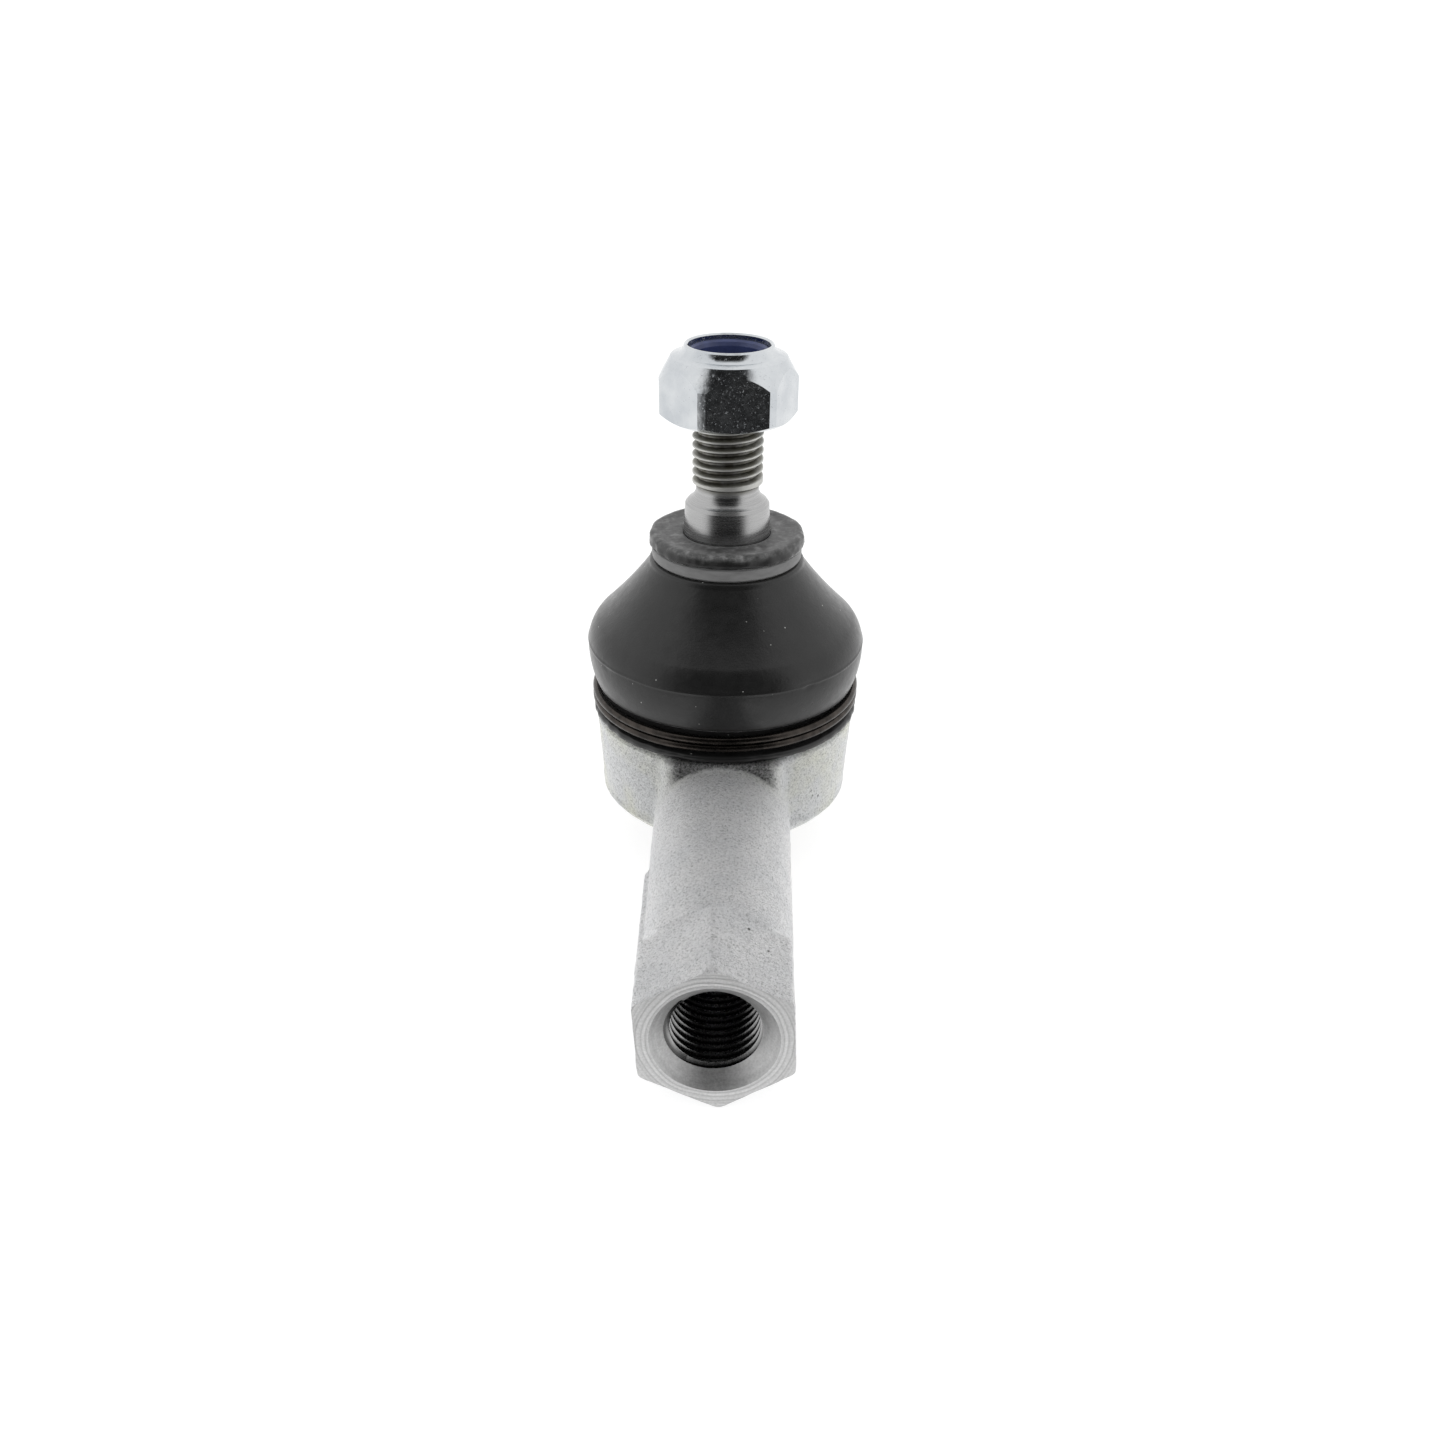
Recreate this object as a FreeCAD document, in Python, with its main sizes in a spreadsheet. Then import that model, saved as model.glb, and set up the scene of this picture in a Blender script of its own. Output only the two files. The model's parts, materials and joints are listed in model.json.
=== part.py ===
import FreeCAD, Part
import math
import os
import Sketcher

# A tie rod end: a forged socket whose shank takes the tie rod, and a ball stud that tilts and turns in it.
# Millimetres. +Z runs up the ball stud, -Y runs along the shank to its mouth, and the origin is the centre
# of the flat under the socket.

DIMENSIONS = {
    # socket
    "shank_height": 10.4,
    "shank_radius": 9.79,
    "shank_mouth_radius": 9.42,
    "shank_start": 13.5,
    "mouth_reach": 64.5,
    "hex_flats": 18.0,
    "hex_spread": 1.035,
    "hex_length": 12.1,
    "mouth_bevel": 0.4,
    "block_width": 17.4,
    "block_reach": 19.8,
    "block_round": 2.4,
    "socket_shoulder": 20.8,
    "socket_radius": 19.3,
    "socket_waist": 18.5,
    "waist_height": 8.3,
    "corner_radius": 8.15,
    "corner_start_radius": 12.9,
    "corner_start_height": 4.6,
    "base_radius": 9.2,
    "base_height": 1.1,
    "base_flare": 0.7,
    "foot_break": 0.5,
    "shoulder_break": 0.6,
    "rim_break": 0.4,
    "rim_height": 26.35,
    "rim_groove_radius": 16.6,
    "rim_flange_radius": 17.4,
    "rim_flange_height": 0.9,
    "mouth_cone_slope": 0.55,
    "mouth_cone_radius": 5.95,
    # thread for the tie rod, M12 x 1.25
    "rod_major_radius": 6.0,
    "rod_minor_radius": 5.32,
    "thread_pitch": 1.25,
    "rod_thread_length": 24.0,
    "rod_thread_entry": 0.6,
    "rod_thread_overcut": 0.2,
    "rod_drill_depth": 31.0,
    "rod_drill_point": 3.0,
    "rod_drill_overcut": 1.0,
    "rod_tooth_root_start": 0.32,
    "rod_tooth_root_end": 0.45,
    "rod_tooth_width": 0.77,
    "sink_radius": 7.6,
    # ball and its seat
    "ball_height": 13.8,
    "ball_radius": 10.0,
    "ball_flat_drop": 9.4,
    "ball_clearance": 0.04,
    "seat_radius": 11.58,
    "cavity_radius": 11.6,
    "pole_flat_radius": 2.0,
    "seat_well_depth": 0.35,
    "seat_top_rise": 5.0,
    "ring_bottom_rise": 5.05,
    "ring_top_rise": 7.15,
    "cavity_top_rise": 7.2,
    "closing_ring_break": 0.3,
    "grease_drop": 7.0,
    "grease_reach": 3.0,
    "grease_overcut": 0.2,
    "grease_width": 1.6,
    "grease_depth": 0.7,
    "grease_grooves": 6,
    # stud
    "neck_radius": 5.0,
    "neck_top": 35.6,
    "taper_bottom": 38.8,
    "taper_top": 52.1,
    "taper_top_radius": 5.92,
    "taper_slope": 0.0625,
    "taper_edge": 0.35,
    "taper_edge_height": 0.45,
    "relief_flare": 2.4,
    "relief_bottom": 54.1,
    "relief_top": 54.9,
    "relief_radius": 4.4,
    "thread_entry_bevel": 0.4,
    "stud_major_radius": 4.93,
    "stud_thread_depth": 0.72,
    "stud_thread_start": 54.8,
    "stud_thread_overcut": 0.2,
    "stud_tooth_root_start": 0.4,
    "stud_tooth_root_end": 0.6,
    "stud_top": 70.8,
    "stud_tip_bevel": 0.8,
    # nut, DIN 985 M10
    "nut_bottom": 64.3,
    "nut_flats": 17.0,
    "nut_hex_height": 8.4,
    "nut_height": 10.0,
    "nut_corner_radius": 9.5,
    "nut_corner_top": 5.5,
    "nut_corner_bottom": 0.75,
    "nut_foot_radius": 8.2,
    "nut_cap_radius": 7.9,
    "nut_bore_radius": 5.05,
    "nut_bore_flare": 0.5,
    "nut_overcut": 1.0,
    "nut_lip_foot_radius": 6.8,
    "nut_lip_foot_rise": 8.75,
    "nut_lip_radius": 6.1,
    "nut_lip_hollow": 1.3,
    "nut_lip_break": 0.2,
    "nut_opening": 5.55,
    "insert_radius": 6.9,
    "insert_bore": 4.65,
    "insert_bottom": 6.95,
    "insert_shoulder": 8.3,
    "insert_top": 9.25,
    "insert_break": 0.25,
    "insert_bevel": 0.75,
    "insert_gap": 0.04,
    # dust boot and its two rings
    "boot_bottom": 20.95,
    "boot_lip_radius": 19.65,
    "boot_lip_top": 21.95,
    "boot_groove_radius": 18.5,
    "boot_groove_top": 25.45,
    "boot_bulge_height": 31.2,
    "boot_bulge_radius": 20.15,
    "boot_bulge_round": 5.6,
    "boot_shoulder_height": 34.85,
    "boot_shoulder_radius": 18.75,
    "boot_slope_hollow": 62.0,
    "boot_waist_round": 14.5,
    "boot_neck_height": 43.5,
    "boot_neck_radius": 11.1,
    "boot_wall": 1.5,
    "boot_break": 0.3,
    "boot_groove_step": 0.6,
    "boot_neck_draft": 0.25,
    "flange_edge": 0.2,
    "flange_bevel": 0.7,
    "boot_rim_gap": 0.3,
    "boot_bead_radius": 16.72,
    "boot_bead_top": 25.35,
    "boot_collar_bottom": 42.8,
    "boot_top": 48.1,
    "boot_flange_bottom": 46.25,
    "boot_flange_radius": 11.1,
    "boot_stud_gap": 0.06,
    "ring_seat_bottom": 44.15,
    "ring_seat_radius": 9.6,
    "upper_ring_radius": 10.68,
    "upper_ring_inner": 9.66,
    "upper_ring_break": 0.3,
    "upper_ring_crown": 4.0,
    "upper_ring_crown_height": 0.04,
    "upper_ring_gap": 0.06,
    "wire_radius": 0.57,
    "wire_coil_radius": 19.14,
    "wire_pitch": 1.16,
    "wire_height": 22.55,
    "wire_turns": 2.0,
}

# Where the nut was left when it was run on, and how far the shank's hexagon is forged off true, in degrees.
NUT_TURN = 8.7
HEX_TURN = 3.0

# How far a level axis is drawn in a sketch.
AXIS_REACH = 80


class Size:
    """A number together with the spreadsheet expression that gives it."""

    def __init__(self, value, text):
        self.value = float(value)
        self.text = text

    @staticmethod
    def of(other):
        return other if isinstance(other, Size) else Size(other, repr(float(other)))

    def __add__(self, other):
        other = Size.of(other)
        return Size(self.value + other.value, f"({self.text} + {other.text})")

    def __sub__(self, other):
        other = Size.of(other)
        return Size(self.value - other.value, f"({self.text} - {other.text})")

    def __mul__(self, other):
        other = Size.of(other)
        return Size(self.value * other.value, f"({self.text} * {other.text})")

    def __truediv__(self, other):
        other = Size.of(other)
        return Size(self.value / other.value, f"({self.text} / {other.text})")

    def __neg__(self):
        return self * -1

    __radd__ = __add__
    __rmul__ = __mul__


class Sizes:
    """The driving dimensions, each read as sizes.name."""

    def __init__(self, document, dimensions):
        self.sheet = document.addObject("Spreadsheet::Sheet", "sizes")
        for row, (name, value) in enumerate(dimensions.items(), start=1):
            self.sheet.set(f"A{row}", name)
            self.sheet.set(f"B{row}", str(value))
            self.sheet.setAlias(f"B{row}", name)
        document.recompute()

    def __getattr__(self, name):
        return Size(getattr(self.sheet, name), f"sizes.{name}")


doc = FreeCAD.newDocument("tie_rod_end")
size = Sizes(doc, DIMENSIONS)


def leg(longest, other):
    """The third side of a right-angled triangle, as on a circle of that radius at that offset."""
    square = longest * longest - other * other
    return Size(math.sqrt(square.value), f"sqrt({square.text})")


def plane(body, role):
    """One of the body's own origin planes."""
    return next(p for p in body.Origin.OriginFeatures if p.Role == role)


def new_body(label):
    body = doc.addObject("PartDesign::Body", label)
    body.Label = label
    return body


def bind(target, name, amount):
    """Tie a property to the spreadsheet."""
    target.setExpression(name, Size.of(amount).text)


def new_sketch(body, name, role, offset=None):
    """A sketch on an origin plane, moved along the plane's normal by offset."""
    sketch = body.newObject("Sketcher::SketchObject", name)
    sketch.AttachmentSupport = [(plane(body, role), "")]
    sketch.MapMode = "FlatFace"
    if offset is not None:
        bind(sketch, ".AttachmentOffset.Base.z", offset)
    return sketch


def pin_point(sketch, edge, end, across, up):
    """Hold one end of a sketch edge at its distances from the sketch origin."""
    for kind, amount in (("DistanceX", across), ("DistanceY", up)):
        amount = Size.of(amount)
        index = sketch.addConstraint(Sketcher.Constraint(kind, -1, 1, edge, end, amount.value))
        bind(sketch, f"Constraints[{index}]", amount)


def arc_between(start, end, radius, side):
    """The arc that bulges to the right (side 1) or left (side -1) of the way from start to end.

    A sketch keeps every arc anticlockwise, so one that bulges to the left is drawn from end to start.
    """
    chord = end - start
    across = FreeCAD.Vector(chord.y, -chord.x, 0).normalize() * side
    reach = math.sqrt(max(radius**2 - chord.Length**2 / 4, 0))
    centre = (start + end) / 2 - across * reach
    first, last = (start, end) if side > 0 else (end, start)
    return Part.Arc(first, centre + across * radius, last)


def outline(sketch, corners):
    """A closed outline. Each corner is (across, up), or (across, up, radius, side) where an arc leaves it."""
    spots = [FreeCAD.Vector(Size.of(c[0]).value, Size.of(c[1]).value, 0) for c in corners]
    ends = []
    for index, corner in enumerate(corners):
        start = spots[index]
        end = spots[(index + 1) % len(spots)]
        if len(corner) == 2:
            sketch.addGeometry(Part.LineSegment(start, end))
            ends.append((1, 2))
        else:
            radius, side = Size.of(corner[2]), corner[3]
            sketch.addGeometry(arc_between(start, end, radius.value, side))
            held = sketch.addConstraint(Sketcher.Constraint("Radius", index, radius.value))
            bind(sketch, f"Constraints[{held}]", radius)
            ends.append((1, 2) if side > 0 else (2, 1))
    for index, corner in enumerate(corners):
        last = (index - 1) % len(corners)
        sketch.addConstraint(
            Sketcher.Constraint("Coincident", last, ends[last][1], index, ends[index][0])
        )
        pin_point(sketch, index, ends[index][0], corner[0], corner[1])
    return sketch


def hexagon(sketch, flats, centre_up, turn, spread):
    """A hexagon of the given width across flats, its first corner at turn degrees, then widened by spread."""
    corner_radius = flats / math.sqrt(3)
    corners = []
    for step in range(6):
        angle = math.radians(turn + 60 * step)
        across = corner_radius * math.cos(angle) * spread
        corners.append((across, centre_up + corner_radius * math.sin(angle)))
    return outline(sketch, corners)


def circle(sketch, radius, across, up):
    """A circle held by its centre and radius."""
    spot = FreeCAD.Vector(Size.of(across).value, Size.of(up).value, 0)
    edge = sketch.addGeometry(Part.Circle(spot, FreeCAD.Vector(0, 0, 1), radius.value))
    pin_point(sketch, edge, 3, across, up)
    held = sketch.addConstraint(Sketcher.Constraint("Radius", edge, radius.value))
    bind(sketch, f"Constraints[{held}]", radius)
    return sketch


def turned(body, name, corners, cut=False, axis_up=None):
    """Turn an outline through a full circle about the upright axis, or about a level axis at axis_up."""
    kind = "PartDesign::Groove" if cut else "PartDesign::Revolution"
    role = "XZ_Plane" if axis_up is None else "YZ_Plane"
    sketch = outline(new_sketch(body, f"{name}_outline", role), corners)
    feature = body.newObject(kind, name)
    feature.Profile = sketch
    if axis_up is None:
        feature.ReferenceAxis = (sketch, ["V_Axis"])
    else:
        line = sketch.addGeometry(
            Part.LineSegment(
                FreeCAD.Vector(-AXIS_REACH, axis_up.value, 0),
                FreeCAD.Vector(0, axis_up.value, 0),
            ),
            True,
        )
        pin_point(sketch, line, 1, -AXIS_REACH, axis_up)
        pin_point(sketch, line, 2, 0, axis_up)
        feature.ReferenceAxis = (sketch, ["Axis0"])
    feature.Angle = 360
    return feature


def grown(body, name, sketch, length):
    """Pad a sketch along its plane's normal."""
    feature = body.newObject("PartDesign::Pad", name)
    feature.Profile = sketch
    bind(feature, "Length", length)
    return feature


def screw_cut(body, name, sketch, axis, pitch, height):
    """Sweep a small tooth-shaped outline along a helix and cut it out."""
    feature = body.newObject("PartDesign::SubtractiveHelix", name)
    feature.Profile = sketch
    feature.ReferenceAxis = axis
    feature.Mode = "pitch-height-angle"
    bind(feature, "Pitch", pitch)
    bind(feature, "Height", height)
    return feature


def mouth_cone(rise):
    """The radius of the cone that the stud swings in, at a height above the ball's centre."""
    return size.mouth_cone_radius + rise * size.mouth_cone_slope


def make_socket_body():
    """The forging: a cup round the ball seat, a round shank, and a hexagonal mouth tapped for the tie rod."""
    body = new_body("socket_body")
    ball = size.ball_height
    cavity_bottom = ball - leg(size.cavity_radius, size.pole_flat_radius)
    cavity_top = ball + size.cavity_top_rise
    flange_bottom = size.rim_height - size.rim_flange_height
    turned(body, "cup", [
        (0, 0),
        (size.base_radius - size.foot_break, 0),
        (size.base_radius, size.foot_break),
        (size.base_radius + size.base_flare, size.base_height),
        (size.corner_start_radius, size.corner_start_height, size.corner_radius, 1),
        (size.socket_waist, size.waist_height),
        (size.socket_radius, size.socket_shoulder - size.shoulder_break),
        (size.socket_radius - size.shoulder_break, size.socket_shoulder),
        (size.rim_groove_radius, size.socket_shoulder),
        (size.rim_groove_radius, flange_bottom),
        (size.rim_flange_radius, flange_bottom),
        (size.rim_flange_radius, size.rim_height - size.rim_break),
        (size.rim_flange_radius - size.rim_break, size.rim_height),
        (mouth_cone(size.rim_height - ball), size.rim_height),
        (mouth_cone(size.cavity_top_rise), cavity_top),
        (size.cavity_radius, cavity_top),
        (size.cavity_radius, ball, size.cavity_radius, -1),
        (size.pole_flat_radius, cavity_bottom),
        (0, cavity_bottom),
    ])

    half = size.block_width / 2
    front = -size.block_reach
    back = -size.shank_start
    block_outline = outline(new_sketch(body, "block_outline", "XY_Plane", size.shank_height), [
        (-half, back),
        (-half, front + size.block_round, size.block_round, 1),
        (size.block_round - half, front),
        (half - size.block_round, front, size.block_round, 1),
        (half, front + size.block_round),
        (half, back),
    ])
    grown(body, "block", block_outline, size.socket_shoulder - size.shank_height)

    axis = size.shank_height
    hex_start = size.mouth_reach - size.hex_length
    turned(body, "shank", [
        (-hex_start, axis),
        (-hex_start, axis + size.shank_mouth_radius),
        (back, axis + size.shank_radius),
        (back, axis),
    ], axis_up=axis)
    hex_outline = hexagon(
        new_sketch(body, "hex_outline", "XZ_Plane", hex_start),
        size.hex_flats, size.shank_height, 90 + HEX_TURN, size.hex_spread,
    )
    grown(body, "hex", hex_outline, size.hex_length)

    mouth = -size.mouth_reach
    corner = size.hex_flats / math.sqrt(3) * size.hex_spread
    turned(body, "mouth_bevel", [
        (mouth, axis + corner - size.mouth_bevel),
        (mouth - size.mouth_bevel, axis + corner - size.mouth_bevel),
        (mouth - size.mouth_bevel, axis + corner + size.mouth_bevel),
        (mouth + size.mouth_bevel * 2, axis + corner + size.mouth_bevel),
    ], cut=True, axis_up=axis)
    sink_depth = size.sink_radius - size.rod_minor_radius
    turned(body, "drilling", [
        (mouth - size.rod_drill_overcut, axis),
        (mouth - size.rod_drill_overcut, axis + size.sink_radius),
        (mouth, axis + size.sink_radius),
        (mouth + sink_depth, axis + size.rod_minor_radius),
        (mouth + size.rod_drill_depth, axis + size.rod_minor_radius),
        (mouth + size.rod_drill_depth + size.rod_drill_point, axis),
    ], cut=True, axis_up=axis)

    pitch = size.thread_pitch
    root_radius = size.rod_minor_radius - size.rod_thread_overcut
    start = mouth + size.rod_thread_entry
    tooth = outline(new_sketch(body, "rod_thread_outline", "XY_Plane", axis), [
        (root_radius, start),
        (size.rod_major_radius, start + pitch * size.rod_tooth_root_start),
        (size.rod_major_radius, start + pitch * size.rod_tooth_root_end),
        (root_radius, start + pitch * size.rod_tooth_width),
    ])
    screw_cut(body, "rod_thread", tooth, (tooth, ["V_Axis"]), pitch, size.rod_thread_length)
    return body


def make_ball_stud():
    """Ball, neck, taper, relief and thread in one turned piece."""
    body = new_body("ball_stud")
    ball = size.ball_height
    flat_radius = leg(size.ball_radius, size.ball_flat_drop)
    neck_rise = leg(size.ball_radius, size.neck_radius)
    taper_fall = size.taper_top - size.taper_bottom
    taper_edge_top = size.taper_top + size.taper_edge_height
    turned(body, "blank", [
        (0, ball - size.ball_flat_drop),
        (flat_radius, ball - size.ball_flat_drop, size.ball_radius, 1),
        (size.neck_radius, ball + neck_rise),
        (size.neck_radius, size.neck_top),
        (size.taper_top_radius + taper_fall * size.taper_slope, size.taper_bottom),
        (size.taper_top_radius, size.taper_top),
        (size.taper_top_radius - size.taper_edge, taper_edge_top, size.relief_flare, -1),
        (size.relief_radius, size.relief_bottom),
        (size.relief_radius, size.relief_top),
        (size.stud_major_radius, size.relief_top + size.thread_entry_bevel),
        (size.stud_major_radius, size.stud_top - size.stud_tip_bevel),
        (size.stud_major_radius - size.stud_tip_bevel, size.stud_top),
        (0, size.stud_top),
    ])
    pitch = size.thread_pitch
    crest = size.stud_major_radius + size.stud_thread_overcut
    root = size.stud_major_radius - size.stud_thread_depth
    start = size.stud_thread_start
    tooth = outline(new_sketch(body, "stud_thread_outline", "XZ_Plane"), [
        (crest, start),
        (crest, start + pitch),
        (root, start + pitch * size.stud_tooth_root_end),
        (root, start + pitch * size.stud_tooth_root_start),
    ])
    screw_cut(
        body, "stud_thread", tooth, (tooth, ["V_Axis"]), pitch, size.stud_top - size.stud_thread_start
    )
    return body


def make_ball_seat():
    """The plastic shell that the ball turns in, with grease grooves down its inside."""
    body = new_body("ball_seat")
    ball = size.ball_height
    inner = size.ball_radius + size.ball_clearance
    rise = size.seat_top_rise
    pole = size.pole_flat_radius
    outer_bottom = ball - leg(size.seat_radius, pole)
    well_bottom = ball - inner - size.seat_well_depth
    turned(body, "shell", [
        (0, outer_bottom),
        (pole, outer_bottom, size.seat_radius, 1),
        (size.seat_radius, ball),
        (size.seat_radius, ball + rise),
        (leg(inner, rise), ball + rise, inner, -1),
        (pole, ball - leg(inner, pole)),
        (pole, well_bottom),
        (0, well_bottom),
    ])
    half = size.grease_width / 2
    slot = outline(new_sketch(body, "grease_outline", "XY_Plane", ball - size.grease_drop), [
        (inner - size.grease_reach, -half),
        (inner + size.grease_depth, -half),
        (inner + size.grease_depth, half),
        (inner - size.grease_reach, half),
    ])
    pocket = body.newObject("PartDesign::Pocket", "grease_groove")
    pocket.Profile = slot
    pocket.Reversed = True
    bind(pocket, "Length", size.seat_top_rise + size.grease_drop + size.grease_overcut)
    pattern = body.newObject("PartDesign::PolarPattern", "grease_groove_set")
    pattern.Originals = [pocket]
    pattern.Axis = (slot, ["N_Axis"])
    pattern.Angle = 360
    bind(pattern, "Occurrences", size.grease_grooves)
    body.Tip = pattern
    return body


def make_closing_ring():
    """The steel ring that the rolled rim holds down on the seat."""
    body = new_body("closing_ring")
    low = size.ball_height + size.ring_bottom_rise
    high = size.ball_height + size.ring_top_rise
    turned(body, "ring", [
        (mouth_cone(size.ring_bottom_rise), low),
        (size.seat_radius, low),
        (size.seat_radius, high - size.closing_ring_break),
        (size.seat_radius - size.closing_ring_break, high),
        (mouth_cone(size.ring_top_rise), high),
    ])
    return body


def make_dust_boot():
    """The rubber boot: bottom bead in the socket's groove, bell, and top collar round the taper."""
    body = new_body("dust_boot")
    wall = size.boot_wall
    low_taper = size.taper_top - size.boot_collar_bottom
    high_taper = size.taper_top - size.boot_top
    hole_low = size.taper_top_radius + low_taper * size.taper_slope + size.boot_stud_gap
    hole_high = size.taper_top_radius + high_taper * size.taper_slope + size.boot_stud_gap
    edge = size.boot_break
    step = size.boot_groove_step
    room = size.rim_flange_radius + size.boot_rim_gap
    flange_side = size.boot_flange_radius - size.flange_edge
    inner_neck = size.boot_neck_radius - wall
    inner_shoulder = size.boot_shoulder_radius - wall
    turned(body, "bell", [
        (size.boot_bead_radius, size.boot_bottom),
        (size.boot_lip_radius - edge, size.boot_bottom),
        (size.boot_lip_radius, size.boot_bottom + edge),
        (size.boot_lip_radius, size.boot_lip_top - edge),
        (size.boot_groove_radius, size.boot_lip_top),
        (size.boot_groove_radius, size.boot_groove_top),
        (size.boot_groove_radius + step, size.boot_groove_top + edge, size.boot_waist_round, 1),
        (size.boot_bulge_radius, size.boot_bulge_height, size.boot_bulge_round, 1),
        (size.boot_shoulder_radius, size.boot_shoulder_height, size.boot_slope_hollow, -1),
        (size.boot_neck_radius, size.boot_neck_height),
        (size.boot_neck_radius - size.boot_neck_draft, size.ring_seat_bottom),
        (size.ring_seat_radius, size.ring_seat_bottom),
        (size.ring_seat_radius, size.boot_flange_bottom),
        (flange_side, size.boot_flange_bottom),
        (size.boot_flange_radius, size.boot_flange_bottom + edge),
        (flange_side, size.boot_top - edge),
        (size.boot_flange_radius - size.flange_bevel, size.boot_top),
        (hole_high, size.boot_top),
        (hole_low, size.boot_collar_bottom),
        (inner_neck, size.boot_collar_bottom - wall / 2, size.boot_slope_hollow + wall, 1),
        (inner_shoulder, size.boot_shoulder_height - wall / 2, size.boot_bulge_round - wall, -1),
        (size.boot_bulge_radius - wall, size.boot_bulge_height - edge),
        (room, size.rim_height + step),
        (room, size.boot_bead_top),
        (size.boot_bead_radius, size.boot_bead_top),
    ])
    return body


def make_upper_boot_ring():
    """The smooth ring that clamps the boot's top collar on the taper."""
    body = new_body("upper_boot_ring")
    low = size.ring_seat_bottom + size.upper_ring_gap
    high = size.boot_flange_bottom - size.upper_ring_gap
    edge = size.upper_ring_break
    side = size.upper_ring_radius - size.upper_ring_crown_height
    turned(body, "ring", [
        (size.upper_ring_inner, low),
        (size.upper_ring_radius - edge, low),
        (side, low + edge, size.upper_ring_crown, 1),
        (side, high - edge),
        (size.upper_ring_radius - edge, high),
        (size.upper_ring_inner, high),
    ])
    return body


def make_lower_boot_ring():
    """The two-turn spring wire round the boot's bottom groove, with its ends at the back."""
    body = new_body("lower_boot_ring")
    section = circle(
        new_sketch(body, "wire_outline", "YZ_Plane"),
        size.wire_radius, size.wire_coil_radius, size.wire_height,
    )
    coil = body.newObject("PartDesign::AdditiveHelix", "coil")
    coil.Profile = section
    coil.ReferenceAxis = (section, ["V_Axis"])
    coil.Mode = "pitch-turns-angle"
    bind(coil, "Pitch", size.wire_pitch)
    bind(coil, "Turns", size.wire_turns)
    return body


def make_nut_body():
    """The locking nut's steel: a hexagon with rounded corners, and a lip curled in over the insert."""
    body = new_body("nut_body")
    low = size.nut_bottom
    hex_top = low + size.nut_hex_height
    top = low + size.nut_height
    sketch = new_sketch(body, "hex_outline", "XY_Plane", low)
    hex_outline = hexagon(sketch, size.nut_flats, Size.of(0), 0, Size.of(1))
    grown(body, "hex", hex_outline, size.nut_hex_height)
    beyond = size.nut_flats
    under = low - size.nut_overcut
    turned(body, "rounding", [
        (size.nut_cap_radius, hex_top),
        (size.nut_cap_radius, top),
        (beyond, top),
        (beyond, under),
        (size.nut_foot_radius, under),
        (size.nut_foot_radius, low),
        (size.nut_corner_radius, low + size.nut_corner_bottom),
        (size.nut_corner_radius, low + size.nut_corner_top),
    ], cut=True)
    opening = size.nut_opening
    lip_break = size.nut_lip_break
    turned(body, "lip", [
        (opening, hex_top - size.nut_bore_flare),
        (size.nut_cap_radius, hex_top - size.nut_bore_flare),
        (size.nut_cap_radius, hex_top),
        (size.nut_lip_foot_radius, low + size.nut_lip_foot_rise, size.nut_lip_hollow, -1),
        (size.nut_lip_radius, top - lip_break),
        (size.nut_lip_radius - lip_break, top),
        (opening + lip_break, top),
        (opening, top - lip_break),
    ])
    bore = size.nut_bore_radius
    pocket = size.insert_radius + size.insert_gap / 2
    turned(body, "bore", [
        (0, under),
        (bore + size.nut_bore_flare, under),
        (bore + size.nut_bore_flare, low),
        (bore, low + size.nut_bore_flare),
        (bore, low + size.insert_bottom),
        (pocket, low + size.insert_bottom),
        (pocket, low + size.insert_shoulder + size.insert_gap / 2),
        (opening, low + size.insert_shoulder + size.insert_gap / 2),
        (opening, top + size.nut_overcut),
        (0, top + size.nut_overcut),
    ], cut=True)
    turn = FreeCAD.Rotation(FreeCAD.Vector(0, 0, 1), NUT_TURN)
    body.Placement = FreeCAD.Placement(FreeCAD.Vector(0, 0, 0), turn)
    return body


def make_nut_insert():
    """The nylon locking ring inside the nut, bulging up through the lip's opening."""
    body = new_body("nut_insert")
    low = size.nut_bottom + size.insert_bottom + size.insert_gap / 2
    shoulder = size.nut_bottom + size.insert_shoulder
    high = size.nut_bottom + size.insert_top
    turned(body, "ring", [
        (size.insert_bore, low),
        (size.insert_radius, low),
        (size.insert_radius, shoulder),
        (size.nut_opening - size.insert_gap, shoulder),
        (size.nut_opening - size.insert_gap, high - size.insert_break),
        (size.nut_opening - size.insert_gap - size.insert_break, high),
        (size.insert_bore + size.insert_break, high - size.insert_break),
        (size.insert_bore, high - size.insert_bevel),
    ])
    return body


CUTS = ("PartDesign::Groove", "PartDesign::Pocket", "PartDesign::SubtractiveHelix")
MAKERS = (
    make_socket_body,
    make_ball_stud,
    make_ball_seat,
    make_closing_ring,
    make_dust_boot,
    make_upper_boot_ring,
    make_lower_boot_ring,
    make_nut_body,
    make_nut_insert,
)
nodes = [maker() for maker in MAKERS]
doc.recompute()

for item in doc.Objects:
    if "Invalid" in item.State or "Error" in item.State:
        raise RuntimeError(f"{item.Name} failed: {item.State}")
for item in doc.Objects:
    if item.TypeId in CUTS and item.Shape.Volume >= item.BaseFeature.Shape.Volume:
        raise RuntimeError(f"{item.Name} takes nothing away")
for node in nodes:
    if node.Shape.isNull() or not node.Shape.isValid():
        raise RuntimeError(f"{node.Label} has no valid shape")

os.makedirs("parts", exist_ok=True)
for node in nodes:
    node.Shape.exportStep(f"parts/{node.Label}.step")
    box = node.Shape.BoundBox
    print(
        f"{node.Label}: {len(node.Shape.Solids)} solid, {node.Shape.Volume:.1f} mm3,"
        f" x {box.XMin:.2f} {box.XMax:.2f}, y {box.YMin:.2f} {box.YMax:.2f}, z {box.ZMin:.2f} {box.ZMax:.2f}"
    )
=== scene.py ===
import json
import math

import bmesh
import bpy
import numpy as np
from mathutils import Matrix, Vector, noise


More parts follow.
